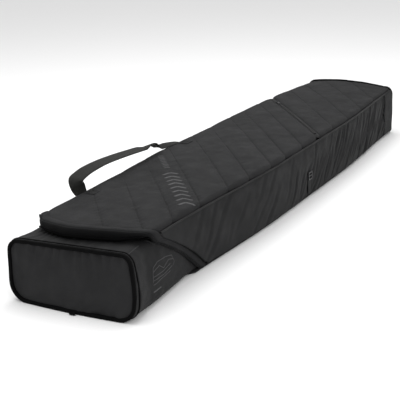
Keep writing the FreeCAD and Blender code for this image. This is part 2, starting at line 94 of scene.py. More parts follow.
# ---- Softness that the frame leaves out ---------------------------------------------------
CROWN = (0.005, 0.014)  # the top stands this much higher along its middle, at the nose and the tail
CROWN_SHIFT = 0.030  # at the tail the crown lies this far towards the left
SIDE_BULGE = 0.005
CELL = 0.0036  # length of a mesh cell along the sides
SIDE_LENGTH = 1.6  # about, to count those cells
QUILT_SLOPE = 1.37  # a quilting seam runs this far along X per metre of Y
QUILT_LINES = (-0.811, -0.661, -0.529, -0.387, -0.231, -0.108, 0.034, 0.138, 0.265,
               0.52, 0.655, 0.80, 0.95)  # where each seam crosses the middle of the top
QUILT_DEPTH = 0.0062
POCKET_SPLIT = 0.38  # seams beyond this one lie behind the pocket zip, where the padding is flatter
FLAP_PEAK_Y = 0.022  # the flap's lip reaches furthest ahead here
ROUNDING = 0.6  # below 1, a round outline is squared off
EDGE_WEAR = 0.55  # webbing loses this share of its thickness at its edges


# ---- Shapes of the tube -------------------------------------------------------------------
def smooth(t):
    t = np.clip(t, 0.0, 1.0)
    return t * t * (3.0 - 2.0 * t)


def half_width(x):
    wider = (BELLY_HALF - MOUTH_HALF) * smooth((x - NOSE_RAMP[0]) / (NOSE_RAMP[1] - NOSE_RAMP[0]))
    narrower = (BELLY_HALF - TAIL_HALF) * smooth((x - TAIL_RAMP[0]) / (TAIL_RAMP[1] - TAIL_RAMP[0]))
    return MOUTH_HALF + wider - narrower


def top_height(x):
    drop = smooth((x - TAIL_DROP[0]) / (TAIL_DROP[1] - TAIL_DROP[0]))
    return MAIN_HEIGHT - (MAIN_HEIGHT - TAIL_HEIGHT) * drop


def crown(x, y):
    """Height of the top's crown above the frame's flat top."""
    tail = smooth((x - 0.3) / 0.6)
    rise = CROWN[0] + (CROWN[1] - CROWN[0]) * tail
    return rise * np.clip(1.0 - ((y - CROWN_SHIFT * tail) / half_width(x)) ** 2, 0.0, 1.0)


def mouth_bow(y, z):
    """How far the flap's edge leaves the leaning plane: ahead over the top, back on the sides."""
    reach = np.where(y > FLAP_PEAK_Y, 0.130, 0.177)
    over_top = -0.024 + 0.044 * (np.abs(y - FLAP_PEAK_Y) / reach) ** 1.5
    left_corner = 0.030 * smooth((y - 0.108) / 0.045) * smooth((z - 0.060) / 0.100)
    down_side = 0.018 * np.sin(np.pi * np.clip((z - 0.018) / 0.140, 0.0, 1.0))
    return over_top * smooth((z - 0.140) / 0.028) + left_corner + down_side


def mouth_x(shift, y, z):
    return FREE_EDGE[0] + shift - MOUTH_SLOPE * (z - FREE_EDGE[1]) + mouth_bow(y, z)


def pocket_x(y):
    slope = (POCKET_START[0] - POCKET_END[0]) / (POCKET_START[1] - POCKET_END[1])
    return POCKET_START[0] + (y - POCKET_START[1]) * slope


POCKET_ANGLE = math.atan2(POCKET_START[1] - POCKET_END[1], POCKET_START[0] - POCKET_END[0])
POCKET_SHIFT = 0.5 * POCKET_BAND / math.sin(POCKET_ANGLE)  # from the zip's middle to a panel's edge


def top_point(x, v):
    """Top surface: v runs from -1 at the right seam to 1 at the left seam."""
    half = half_width(x)
    height = top_height(x)
    corner = CORNER + 0.010 * smooth((x - 0.8) / 0.14)
    bend = np.arccos(np.clip((SEAM_Z - height + corner) / corner, -1.0, 1.0))
    flat = half - corner
    travel = np.abs(v) * (flat + corner * bend)
    turn = np.clip((travel - flat) / corner, 0.0, None)
    y = np.where(travel < flat, travel, flat + corner * np.sin(turn))
    z = np.where(travel < flat, height, height - corner + corner * np.cos(turn))
    y = np.sign(v) * y
    return np.stack([x, y, z + crown(x, y)], -1)


def side_point(x, z, side):
    """Side surface at height z, rounded in at the floor and bulging a little half way up."""
    half = half_width(x)
    low = np.clip(CORNER - z, 0.0, CORNER)
    round_in = CORNER - np.sqrt(CORNER ** 2 - low ** 2)
    bulge = SIDE_BULGE * np.sin(np.pi * np.clip(z / SEAM_Z, 0.0, 1.0)) ** 0.8
    return np.stack([x, side * (half - round_in + bulge), z], -1)


def arch(half, height, r_low, r_high, low_z=0.0, counts=(7, 22, 7, 52)):
    """Points and outward directions of a rounded arch from the right foot over to the left one."""
    n_low, n_side, n_high, n_top = counts
    low_turn = math.acos(max(0.0, (r_low - low_z) / r_low)) if low_z < r_low else math.pi / 2
    points, outs = [], []
    for turn in np.linspace(low_turn, math.pi / 2, n_low):
        outs.append((-math.sin(turn), -math.cos(turn)))
        points.append((-(half - r_low) + r_low * outs[-1][0], r_low + r_low * outs[-1][1]))
    for z in np.linspace(r_low, height - r_high, n_side + 2)[1:-1]:
        outs.append((-1.0, 0.0))
        points.append((-half, z))
    for turn in np.linspace(math.pi / 2, 0.0, n_high):
        outs.append((-math.sin(turn), math.cos(turn)))
        points.append((-(half - r_high) + r_high * outs[-1][0], height - r_high + r_high * outs[-1][1]))
    for y in np.linspace(-(half - r_high), 0.0, n_top // 2 + 1)[1:-1]:
        outs.append((0.0, 1.0))
        points.append((y, height))
    right = np.array(points)
    right_out = np.array(outs)
    flip = np.array([-1.0, 1.0])
    middle = np.array([[0.0, height]])
    points = np.concatenate([right, middle, right[::-1] * flip])
    outs = np.concatenate([right_out, [[0.0, 1.0]], right_out[::-1] * flip])
    return points, outs


# ---- Mesh helpers -------------------------------------------------------------------------
def make_object(name, vertices, faces, rounded=True):
    """A mesh object from points and faces, shaded round or flat."""
    mesh = bpy.data.meshes.new(name)
    points = np.array(vertices, float).reshape(-1, 3)
    points[:, 2] = np.maximum(points[:, 2], 0.0)  # nothing reaches below the floor
    mesh.from_pydata([tuple(point) for point in points], [], faces)
    work = bmesh.new()
    work.from_mesh(mesh)
    bmesh.ops.remove_doubles(work, verts=work.verts, dist=1e-6)
    bmesh.ops.recalc_face_normals(work, faces=work.faces)
    work.to_mesh(mesh)
    work.free()
    mesh.polygons.foreach_set("use_smooth", [rounded] * len(mesh.polygons))
    piece = bpy.data.objects.new(name, mesh)
    bpy.context.scene.collection.objects.link(piece)
    return piece


def grid_quads(rows, columns, start=0, closed=False):
    quads = []
    for i in range(rows - 1):
        for j in range(columns if closed else columns - 1):
            k = (j + 1) % columns
            quads.append((start + i * columns + j, start + i * columns + k,
                          start + (i + 1) * columns + k, start + (i + 1) * columns + j))
    return quads


def shell(name, outer, inner):
    """A closed sheet between two grids of the same shape."""
    rows, columns, _ = outer.shape
    offset = rows * columns
    faces = grid_quads(rows, columns) + [q[::-1] for q in grid_quads(rows, columns, offset)]
    rim = [(0, j) for j in range(columns)] + [(i, columns - 1) for i in range(1, rows)]
    rim += [(rows - 1, j) for j in range(columns - 2, -1, -1)] + [(i, 0) for i in range(rows - 2, 0, -1)]
    for a, b in zip(rim, rim[1:] + rim[:1]):
        p, q = a[0] * columns + a[1], b[0] * columns + b[1]
        faces.append((q, p, p + offset, q + offset))
    return make_object(name, np.concatenate([outer.reshape(-1, 3), inner.reshape(-1, 3)]), faces)


def ring_shell(name, outer, inner, rims, capped=False):
    """A closed sheet between two grids of rings, joined along the rings listed as rims."""
    rows, count, _ = outer.shape
    offset = rows * count
    faces = grid_quads(rows, count, 0, True) + [q[::-1] for q in grid_quads(rows, count, offset, True)]
    for row in rims:
        for j in range(count):
            a, b = row * count + j, row * count + (j + 1) % count
            faces.append((b, a, a + offset, b + offset))
    if capped:
        faces.append(tuple(range(count)))
        faces.append(tuple(offset + j for j in range(count))[::-1])
    return make_object(name, np.concatenate([outer.reshape(-1, 3), inner.reshape(-1, 3)]), faces)


def grid_normals(points, outward):
    """Unit normals of a grid, on the side that `outward` points to."""
    across = np.cross(np.gradient(points, axis=0), np.gradient(points, axis=1))
    across /= np.maximum(np.linalg.norm(across, axis=-1, keepdims=True), 1e-12)
    flip = np.sign(np.sum(across * outward, -1, keepdims=True))
    return across * np.where(flip == 0, 1.0, flip)


def wobble(points, size, seed):
    """Smooth noise from -1 to 1 with features of about that size."""
    flat = np.asarray(points, float).reshape(-1, 3) / size
    values = [noise.noise(Vector(p) + Vector((seed * 7.3, seed * 3.1, seed * 5.7))) for p in flat]
    return np.array(values).reshape(np.asarray(points).shape[:-1])


def edge_distance(points):
    """Distance of each grid point from the nearest border of the grid, along its row or column."""
    along = np.linalg.norm(np.diff(points, axis=0), axis=-1)
    across = np.linalg.norm(np.diff(points, axis=1), axis=-1)
    rows, columns = points.shape[:2]
    a = np.concatenate([np.zeros((1, columns)), np.cumsum(along, 0)])
    b = np.concatenate([np.zeros((rows, 1)), np.cumsum(across, 1)], 1)
    return np.minimum(np.minimum(a, a[-1:] - a), np.minimum(b, b[:, -1:] - b))


def sweep(name, path, side_dirs, up_dirs, profile, closed=False):
    """A profile carried along a path. Its points are (along side_dir, along up_dir), in a list or in a
    function that gives the list at each step of the path."""
    path = np.asarray(path, float)
    side_dirs = np.broadcast_to(side_dirs, path.shape)
    up_dirs = np.broadcast_to(up_dirs, path.shape)
    outlines = [profile(k) if callable(profile) else profile for k in range(len(path))]
    count = len(outlines[0])
    rings = [[path[k] + side_dirs[k] * a + up_dirs[k] * b for a, b in outline]
             for k, outline in enumerate(outlines)]
    faces = grid_quads(len(path), count, closed=True)
    last = (len(path) - 1) * count
    if closed:
        faces += [(last + j, last + (j + 1) % count, (j + 1) % count, j) for j in range(count)]
    else:
        faces.append(tuple(range(count))[::-1])
        faces.append(tuple(last + j for j in range(count)))
    return make_object(name, np.array(rings), faces)


def round_profile(width, thickness, points=10):
    """A flattened round profile."""
    out = []
    for k in range(points):
        turn = 2 * math.pi * k / points
        c, s = math.cos(turn), math.sin(turn)
        out.append((0.5 * width * math.copysign(abs(c) ** ROUNDING, c),
                    0.5 * thickness * math.copysign(abs(s) ** ROUNDING, s)))
    return out


def tangents(path, closed=False):
    path = np.asarray(path, float)
    if closed:
        steps = np.roll(path, -1, 0) - np.roll(path, 1, 0)
    else:
        steps = np.gradient(path, axis=0)
    return steps / np.linalg.norm(steps, axis=1, keepdims=True)


def ribbon(name, path, width_dirs, widths, thickness):
    """Flat webbing along a path. Its width and the width's direction may differ from point to point."""
    along = tangents(path)
    flat = np.broadcast_to(np.asarray(width_dirs, float), along.shape)
    flat = flat - along * np.sum(flat * along, 1, keepdims=True)
    flat /= np.linalg.norm(flat, axis=1, keepdims=True)
    widths = np.broadcast_to(widths, len(along))
    lanes = np.linspace(-0.5, 0.5, 9)
    heights = 0.5 * thickness * (1 - EDGE_WEAR * (2 * np.abs(lanes)) ** 8)

    def outline(k):
        upper = [(lane * widths[k], height) for lane, height in zip(lanes, heights)]
        return upper + [(a, -b) for a, b in upper[::-1]]

    return sweep(name, path, flat, np.cross(along, flat), outline)


def spacing(corners):
    """How far along its curve each corner lies, with long and short stretches evened out."""
    steps = np.linalg.norm(np.diff(np.asarray(corners, float), axis=0), axis=1)
    return np.concatenate([[0.0], np.cumsum(np.sqrt(steps))])


def curve_points(corners, count):
    """Points along a smooth curve through the given ones."""
    corners = np.asarray(corners, float)
    place = spacing(corners)
    out = []
    for t in np.linspace(0.0, place[-1], count):
        k = min(np.searchsorted(place, t, side="right") - 1, len(corners) - 2)
        p0 = corners[max(k - 1, 0)]
        p1, p2 = corners[k], corners[k + 1]
        p3 = corners[min(k + 2, len(corners) - 1)]
        s = (t - place[k]) / (place[k + 1] - place[k])
        out.append(0.5 * ((2 * p1) + (p2 - p0) * s + (2 * p0 - 5 * p1 + 4 * p2 - p3) * s ** 2
                          + (3 * p1 - p0 - 3 * p2 + p3) * s ** 3))
    return np.array(out)


def curve_values(corners, values, count):
    """Values given at the corners of a curve, spread along the same steps as curve_points takes."""
    place = spacing(corners)
    steps = np.linspace(0.0, place[-1], count)
    return np.stack([np.interp(steps, place, column) for column in np.array(values, float).T], -1)


# ---- Materials ----------------------------------------------------------------------------
def new_material(name):
    material = bpy.data.materials.new(name)
    material.use_nodes = True
    tree = material.node_tree
    shader = tree.nodes["Principled BSDF"]
    coords = tree.nodes.new("ShaderNodeTexCoord")
    return material, tree, shader, coords


def add_noise(tree, coords, scale, detail, stretch=(1, 1, 1)):
    mapping = tree.nodes.new("ShaderNodeMapping")
    mapping.inputs["Scale"].default_value = stretch
    tree.links.new(coords.outputs["Object"], mapping.inputs["Vector"])
    texture = tree.nodes.new("ShaderNodeTexNoise")
    texture.inputs["Scale"].default_value = scale
    texture.inputs["Detail"].default_value = detail
    tree.links.new(mapping.outputs["Vector"], texture.inputs["Vector"])
    return texture.outputs["Fac"]


def add_wave(tree, coords, direction, pitch):
    texture = tree.nodes.new("ShaderNodeTexWave")
    texture.bands_direction = direction
    texture.inputs["Scale"].default_value = 0.314 / pitch
    texture.inputs["Distortion"].default_value = 0.4
    tree.links.new(coords.outputs["Object"], texture.inputs["Vector"])
    return texture.outputs["Fac"]


def add_math(tree, operation, a, b):
    node = tree.nodes.new("ShaderNodeMath")
    node.operation = operation
    for k, value in enumerate((a, b)):
        if isinstance(value, (int, float)):
            node.inputs[k].default_value = value
        else:
            tree.links.new(value, node.inputs[k])
    return node.outputs[0]


def add_ramp(tree, factor, low, high, dark, light):
    ramp = tree.nodes.new("ShaderNodeValToRGB")
    ramp.color_ramp.elements[0].position = low
    ramp.color_ramp.elements[1].position = high
    ramp.color_ramp.elements[0].color = (*dark, 1)
    ramp.color_ramp.elements[1].color = (*light, 1)
    tree.links.new(factor, ramp.inputs["Fac"])
    return ramp.outputs["Color"]


def add_bump(tree, shader, height, strength, distance):
    bump = tree.nodes.new("ShaderNodeBump")
    bump.inputs["Strength"].default_value = strength
    bump.inputs["Distance"].default_value = distance
    tree.links.new(height, bump.inputs["Height"])
    tree.links.new(bump.outputs["Normal"], shader.inputs["Normal"])


def mottle(tree, shader, factor, colour, dark, light, span=(0.3, 0.7)):
    """Lets the base colour vary between a darker and a lighter share of one colour."""
    ramp = add_ramp(tree, factor, *span, [c * dark for c in colour], [c * light for c in colour])
    tree.links.new(ramp, shader.inputs["Base Color"])


def vary_roughness(tree, shader, factor, low, high):
    ramp = add_ramp(tree, factor, 0.3, 0.7, [low] * 3, [high] * 3)
    tree.links.new(ramp, shader.inputs["Roughness"])


def fabric(name, colour, pitch, rough=0.82, sheen=0.02, crease=0.12, gloss=0.22):
    """Woven cloth: threads both ways, mottled colour, fine creases and soft sheen."""
    material, tree, shader, coords = new_material(name)
    mottle(tree, shader, add_noise(tree, coords, 9.0, 4.0), colour, 0.9, 1.1, (0.35, 0.65))
    threads = add_wave(tree, coords, "X", pitch)
    for direction in ("Y", "Z"):
        threads = add_math(tree, "ADD", threads, add_wave(tree, coords, direction, pitch))
    creases = add_noise(tree, coords, 70.0, 3.0, (1.0, 0.45, 0.45))
    height = add_math(tree, "MULTIPLY", threads, 0.25)
    height = add_math(tree, "ADD", height, add_math(tree, "MULTIPLY", creases, crease * 8))
    add_bump(tree, shader, height, 0.35, 0.0006)
    vary_roughness(tree, shader, add_noise(tree, coords, 26.0, 2.0), rough - 0.07, rough + 0.07)
    shader.inputs["Sheen Weight"].default_value = sheen
    shader.inputs["Sheen Roughness"].default_value = 0.5
    shader.inputs["Specular IOR Level"].default_value = gloss
    return material


def webbing_material(name, colour, direction="X"):
    """Ribbed tape: narrow ribs along one axis and a finer weave across them."""
    material, tree, shader, coords = new_material(name)
    mottle(tree, shader, add_noise(tree, coords, 60.0, 3.0), colour, 0.8, 1.25)
    ribs = add_wave(tree, coords, direction, 0.0022)
    fine = add_wave(tree, coords, "DIAGONAL", 0.0012)
    add_bump(tree, shader, add_math(tree, "ADD", ribs, add_math(tree, "MULTIPLY", fine, 0.5)), 0.5, 0.0006)
    shader.inputs["Roughness"].default_value = 0.76
    shader.inputs["Sheen Weight"].default_value = 0.02
    shader.inputs["Specular IOR Level"].default_value = 0.25
    return material


def smooth_material(name, colour, rough, metal=0.0, grain=300.0, depth=0.0001, gloss=0.5):
    """Moulded plastic, lacquered metal or closed-cell foam, told apart by grain and roughness."""
    material, tree, shader, coords = new_material(name)
    grainy = add_noise(tree, coords, grain, 4.0)
    mottle(tree, shader, grainy, colour, 0.82, 1.2)
    vary_roughness(tree, shader, add_noise(tree, coords, 40.0, 3.0), rough * 0.85, rough * 1.15)
    add_bump(tree, shader, grainy, 0.4, depth)
    shader.inputs["Metallic"].default_value = metal
    shader.inputs["Specular IOR Level"].default_value = gloss
    return material


MATERIALS = {
    # All these polyesters are one black cloth. The top and the end faces get a lighter tone than the sides,
    # cap and flap: painted light.
    "top": fabric("top_polyester_painted_light", (0.0108, 0.0108, 0.0115), 0.0011, gloss=0.15),
    "side": fabric("side_polyester", (0.0088, 0.0088, 0.0093), 0.0011),
    "nose": fabric("end_polyester_painted_light", (0.0135, 0.0135, 0.0142), 0.0011),
    "cap": fabric("cap_polyester", (0.0085, 0.0085, 0.0090), 0.0011),
    "flap": fabric("flap_polyester", (0.0088, 0.0088, 0.0094), 0.0011, gloss=0.12),
    # The lip is the same cloth in a darker tone: painted shade on its front face, which turns down from the
    # overhead light.
    "lip": fabric("lip_polyester_painted_shade", (0.0040, 0.0040, 0.0043), 0.0011, gloss=0.08),
    "binding": fabric("binding_grosgrain", (0.0015, 0.0015, 0.0016), 0.0016, sheen=0.0, gloss=0.07),
    # a lighter cord colour: painted highlight along the cap's upper right edge
    "seam": fabric("cap_edge_painted_highlight", (0.0220, 0.0220, 0.0228), 0.0012, rough=0.7),
    "piping": fabric("piping_cover", (0.0070, 0.0070, 0.0074), 0.0012, rough=0.7),
    "lining": fabric("lining_taffeta", (0.085, 0.087, 0.092), 0.0008, rough=0.6, crease=0.2),
    "webbing": webbing_material("handle_webbing", (0.0072, 0.0072, 0.0060)),
    "strap": webbing_material("strap_webbing", (0.006, 0.006, 0.0065), "Z"),
    "tape": webbing_material("zip_tape_weave", (0.004, 0.004, 0.0044), "DIAGONAL"),
    "coil": smooth_material("zip_coil_nylon", (0.006, 0.006, 0.0065), 0.55),
    "plastic": smooth_material("moulded_acetal", (0.014, 0.014, 0.015), 0.42, grain=600.0, gloss=0.3),
    "metal": smooth_material("lacquered_zinc", (0.008, 0.008, 0.009), 0.5, metal=0.1, grain=120.0,
                             gloss=0.3),
    "foam": smooth_material("closed_cell_foam", (0.080, 0.080, 0.085), 0.9, grain=700.0, depth=0.0004),
    "thread": fabric("sewing_thread", (0.0060, 0.0060, 0.0060), 0.0006, rough=0.6),
    "print": fabric("screen_print", (0.058, 0.058, 0.060), 0.0011, rough=0.6, sheen=0.0),
}


FOLD = "fold"  # stands for a piece that lies over the fold line between the bag and the hood; dress only bakes its transform and attaches it to no body


def dress(piece, look, nodes=(), body="bag"):
    """Gives a piece its material and slot, the frame nodes it stands for and what it moves with."""
    piece.data.materials.clear()
    piece.data.materials.append(MATERIALS[look])
    if nodes:
        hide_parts(*nodes)
    if body == FOLD:
        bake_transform(piece)
    elif body is not None:
        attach(piece, body)
    return piece


# ---- Displacements ------------------------------------------------------------------------
def quilt_distance(x, y):
    """Distance from the nearest quilting seam."""
    slant = 1.0 / math.hypot(1.0, QUILT_SLOPE)
    offsets = np.stack([(x - QUILT_SLOPE * y - c) * slant for c in QUILT_LINES])
    return np.min(np.abs(offsets), 0)


def quilt_lift(points):
    """Padding that rises between the quilting seams, with small puckers along each seam."""
    x, y = points[..., 0], points[..., 1]
    away = quilt_distance(x, y)
    depth = QUILT_DEPTH * (0.25 + 0.75 * smooth((0.10 - y) / 0.18))
    depth = depth * np.where(x - QUILT_SLOPE * y > POCKET_SPLIT, 0.35, 1.0)
    lift = depth * (0.6 * (1 - np.exp(-away / 0.0040)) + 0.4 * (1 - np.exp(-((away / 0.026) ** 2))))
    run = x * 0.59 + y * 0.81
    puckers = np.sin(run * 300 + 3 * wobble(points, 0.05, 1)) * np.exp(-((away - 0.006) / 0.007) ** 2)
    lift += 0.0004 * puckers
    lift += 0.0020 * wobble(points, 0.14, 2) + 0.0005 * wobble(points, 0.035, 3)
    from_groove = np.abs(x - pocket_x(y)) * math.sin(POCKET_ANGLE) - 0.5 * POCKET_BAND
    return lift - depth * 0.6 - 0.0030 * np.exp(-np.clip(from_groove, 0.0, None) / 0.008)


def side_folds(seed):
    """Fold lines of one side panel: place at mid height, lean, width, depth, lower and upper end."""
    rng = random.Random(seed)
    folds = []
    x = -0.66
    while x < 0.93:
        busy = float(smooth((x + 0.25) / 0.45))
        depth = rng.uniform(0.0012, 0.0024) * (1 + 0.5 * busy)
        low, high = rng.uniform(-0.03, 0.05), rng.uniform(0.10, 0.19)
        width = rng.uniform(0.006, 0.010) * (1 - 0.45 * busy)
        folds.append((x, rng.uniform(0.45, 1.1), width, depth, low, high))
        x += rng.uniform(0.045, 0.10) * (1 - busy) + rng.uniform(0.012, 0.026) * busy
    return folds


def fold_lift(points, folds):
    """Each fold is a groove with a lower ridge beside it, and fades out at both its ends."""
    x, z = points[..., 0], points[..., 2]
    lift = np.zeros(x.shape)
    for k, (place, lean, width, depth, low, high) in enumerate(folds):
        off = x - place - lean * (z - 0.08) + 0.004 * np.sin(z * 55 + k)
        fade = smooth((z - low) / 0.035) * smooth((high - z) / 0.035)
        lift -= depth * np.exp(-((off / width) ** 2)) * fade
        lift += 0.5 * depth * np.exp(-(((off - 1.9 * width) / (1.5 * width)) ** 2)) * fade
    return lift


def tuck(points, depth=0.0016, reach=0.006):
    """Fabric that dips into the seam around a panel's border."""
    return -depth * np.exp(-edge_distance(points) / reach)


def panel(name, points, outward, lift, thickness):
    """A padded panel: its outer face takes the whole lift, its inner face half of it."""
    normals = grid_normals(points, outward)
    outer = points + normals * (lift + tuck(points))[..., None]
    inner = points + normals * (0.5 * lift + tuck(points) - thickness)[..., None]
    return shell(name, outer, inner)


# ---- Quilted top --------------------------------------------------------------------------
def seam_rows(low, high):
    """Places of the mesh rows, which run along the quilting seams: dense beside a seam, wider between."""
    slant = math.hypot(1.0, QUILT_SLOPE)
    near = [0.0013 * slant, 0.0032 * slant, 0.0068 * slant]
    stops = [low] + [c for c in QUILT_LINES if low < c < high] + [high]
    rows = []
    for a, b in zip(stops, stops[1:]):
        inner = int((b - a - 2 * near[-1]) / (0.0075 * slant)) + 2
        rows += [a] + [a + step for step in near[:-1]]
        rows += list(np.linspace(a + near[-1], b - near[-1], max(inner, 2)))
        rows += [b - step for step in near[1::-1]]
    return np.array(rows + [high])


def top_grid(front, back, span, columns):
    """A grid over the top between two borders, each given as x for y and z. Its rows follow the seams."""
    v = np.linspace(-1.0, 1.0, columns)
    rows = seam_rows(*span)[:, None]
    x = rows + QUILT_SLOPE * 0.17 * v[None]
    place = np.arange(len(rows))[:, None]
    step = 0.00006
    across = np.broadcast_to(v, x.shape)
    for _ in range(6):
        points = top_point(x, across)
        y, z = points[..., 1], points[..., 2]
        x = rows + QUILT_SLOPE * y
        x = np.maximum(x, front(y, z) + step * place)
        x = np.minimum(x, back(y, z) - step * place[::-1])
        x[0] = front(y, z)[0]
        x[-1] = back(y, z)[-1]
    return top_point(x, across)


def top_piece(name, front, back, span, nodes, body):
    grid = top_grid(front, back, span, 100)
    piece = panel(name, grid, UP, quilt_lift(grid), SKIN)
    # the top's lighter tone is painted light
    return dress(piece, "top", nodes, body)


def build_top():
    """The quilted top in two pieces, ahead of the pocket zip and behind it."""
    def at_flap(y, z):
        return mouth_x(FLAP_WIDTH, y, z)

    def before_pocket(y, z):
        return pocket_x(y) - POCKET_SHIFT

    def behind_pocket(y, z):
        return pocket_x(y) + POCKET_SHIFT

    def at_tail(y, z):
        return np.full(y.shape, END_X)

    front = top_piece("quilted_top_front", at_flap, before_pocket, (-1.05, 0.375),
                      ("top_panel_front", "hood_top_panel"), FOLD)
    rear = top_piece("quilted_top_rear", behind_pocket, at_tail, (0.385, 1.180), ("top_panel_rear",), "bag")
    return front, rear


# ---- Sides --------------------------------------------------------------------------------
def build_side(side, name):
    """A side panel with its folds. On the right it is drawn in where the small strap is sewn on."""
    columns = 40
    heights = np.linspace(SEAM_Z, SKIN, columns)
    first = mouth_x(FLAP_WIDTH, np.full(columns, side * MOUTH_HALF), heights)
    u = np.linspace(0.0, 1.0, int(SIDE_LENGTH / CELL))[:, None]
    x = first[None] * (1 - u) + END_X * u
    grid = side_point(x, np.broadcast_to(heights, x.shape), side)
    lift = fold_lift(grid, side_folds(23 if side == LEFT else 11))
    lift += 0.0020 * wobble(grid, 0.09, 4) + 0.0008 * wobble(grid, 0.03, 5)
    if side == RIGHT:
        from_strap = ((grid[..., 0] - BUCKLE_X) / 0.028) ** 2 + ((grid[..., 2] - 0.055) / 0.045) ** 2
        lift -= 0.006 * np.exp(-from_strap)
    calm = smooth((SEAM_Z - grid[..., 2]) / 0.012)
    piece = panel("side_cloth_" + name, grid, side * ACROSS, lift * calm, SKIN)
    return dress(piece, "side", ("side_panel_" + name, "hood_cheek_" + name), FOLD)


# ---- Storm flap and piping ----------------------------------------------------------------
def build_flap():
    """The padded band over the mouth zip: a black edge tape under the lip that paints the shadow of the gap
    beneath it, a rolled lip, a flat run and a seam behind.
    """
    points, outs = arch(MOUTH_HALF, MAIN_HEIGHT + 0.001, CORNER, CORNER, SKIN, (5, 30, 7, 70))
    y, low_z = points[:, 0], points[:, 1]
    on_top = smooth((low_z - 0.150) / 0.018)
    z = low_z + crown(-0.88, y) * on_top
    path = np.stack([mouth_x(0.0, y, low_z), y, z], -1)
    path[:, 0] += 0.0012 * wobble(path, 0.03, 6)
    out = np.column_stack([np.zeros(len(path)), outs])
    lips = 0.004 + 0.011 * on_top * smooth((0.160 - np.abs(y)) / 0.075)
    at_left = smooth((y - 0.120) / 0.02)
    on_middle = np.clip(1 - (np.abs(y + 0.02) / 0.15) ** 4, 0.0, 1.0) * on_top
    # Height of the black tape, a painted shadow for the gap under the lip; it is tallest over the middle of
    # the top.
    shadow_tape_heights = 0.0030 * (1 - 0.6 * at_left) + 0.0040 * on_middle
    calm = 1 - smooth((path[:, 1] - 0.115) / 0.03)

    def swell(k):
        return (0.0012 + 0.0006 * noise.noise(Vector(path[k] * 40))) * calm[k]

    def shadow_tape_profile(k):
        lip, edge = lips[k], shadow_tape_heights[k]
        return [(0.0044, 0.001 - lip), (-0.0004, 0.001 - lip), (-0.0006, -lip - 0.6 * edge),
                (0.0008, -lip - edge), (0.0036, -lip - edge), (0.0046, -lip - 0.6 * edge)]

    def lip_profile(k):
        lip, high = lips[k], swell(k)
        return [(0.0042, -lip), (0.0018, -lip - 0.001), (0.0002, -lip * 0.85), (-0.0018, -lip * 0.5),
                (-0.0018, -0.0018), (0.0004, 0.0006 + high), (0.0044, 0.0013 + high),
                (0.0080, -0.0008 + high), (0.0080, -0.0036), (0.0060, -0.0042)]

    def flat_profile(k):
        """Its last part is a seam allowance that lies under the panels behind."""
        high = swell(k)
        return [(0.0082, -0.0036), (0.0082, -0.0008 + high), (0.0108, 0.0013 + high),
                (0.0180, 0.0014 + high), (0.0270, 0.0008 + high), (0.0350, 0.0002),
                (FLAP_WIDTH - 0.0008, -0.0014), (FLAP_WIDTH + 0.0045, -0.0030),
                (FLAP_WIDTH + 0.0045, -0.0042), (0.0270, -0.0036), (0.0140, -0.0036)]

    tape = sweep("flap_edge_painted_shadow_tape", path, AHEAD, out, shadow_tape_profile)
    # the tape's black binding colour is painted shadow
    dress(tape, "binding", body=FOLD)
    lip = sweep("flap_lip_cloth", path, AHEAD, out, lip_profile)
    # the lip's darker tone is painted shade
    dress(lip, "lip", body=FOLD)
    piece = sweep("storm_flap_cloth", path, AHEAD, out, flat_profile)
    dress(piece, "flap", ("storm_flap", "flap_ends"), FOLD)


def build_piping():
    """A covered cord along each seam between the top and a side."""
    profile = round_profile(2 * PIPING_R, 2 * PIPING_R)
    for side, name in ((LEFT, "left"), (RIGHT, "right")):
        start = float(mouth_x(FLAP_WIDTH - 0.001, side * MOUTH_HALF, SEAM_Z))
        x = np.linspace(start, 0.850, 360)
        y = side * (half_width(x) + PIPING_R + 0.0002)
        path = np.stack([x, y, np.full(x.shape, SEAM_Z)], -1)
        path[:, 2] += 0.0008 * wobble(path, 0.06, 8)
        piece = sweep("piping_cord_" + name, path, side * ACROSS, UP, profile)
        nodes = ("piping_left", "hood_piping") if side == LEFT else ("piping_right",)
        dress(piece, "piping", nodes, FOLD)


# ---- Nose and tail ends -------------------------------------------------------------------
def nose_x(y, z):
    """X of the nose face's border: it leans, and its foot bows ahead in the middle."""
    ahead = NOSE_FOOT[0] + NOSE_FOOT[1] * y + NOSE_FOOT[2] * y ** 2
    return -END_X - 0.003 - NOSE_YAW * y - (1.0 - z / NOSE_FACE[1]) * ahead


def splay(points):
    """Moves the lower part of the cap to the right, most at the nose."""
    x, y, z = points[..., 0], points[..., 1], points[..., 2]
    left = np.clip(0.5 + 0.5 * y / NOSE_FACE[0], 0.0, 1.0)
    shift = (1 - left) * SPLAY[0] * smooth((0.15 - z) / 0.10) + left * SPLAY[1] * smooth((0.05 - z) / 0.05)
    moved = points.copy()
    moved[..., 1] = y - shift * smooth((-0.600 - x) / 0.28)
    return moved


def between(a, b, t):
    return tuple(p + (q - p) * t for p, q in zip(a, b))


SEAM_ROW = 5  # a second seam runs round the cap on this row of its mesh
EDGE_SEAM_END = 34  # the seam along the cap's edge stops before this row


def sleeve_steps(rows):
    """Places along the cap from 0 to 1, with a denser run up to the second seam."""
    first = np.linspace(0.0, 0.045, SEAM_ROW + 1)
    near = np.linspace(0.045, 0.09, 5)[1:]
    return np.concatenate([first, near, np.linspace(0.09, 1.0, rows - len(first) - len(near) + 1)[1:]])


def cap_section(x):
    """Half width, height and corner radii of the cap at x."""
    if x < CAP_NECK_X:
        return between(NOSE_FACE, CAP_NECK, max(0.0, (x + END_X) / (CAP_NECK_X + END_X)))
    return between(CAP_NECK, CAP_BACK, (x - CAP_NECK_X) / (CAP_BACK_X - CAP_NECK_X))


def cap_mouth(z, short=0.0):
    """X of the cap's rear edge, which leans with the mouth."""
    return FREE_EDGE[0] + CAP_OVERLAP - short - MOUTH_SLOPE * (z - FREE_EDGE[1])


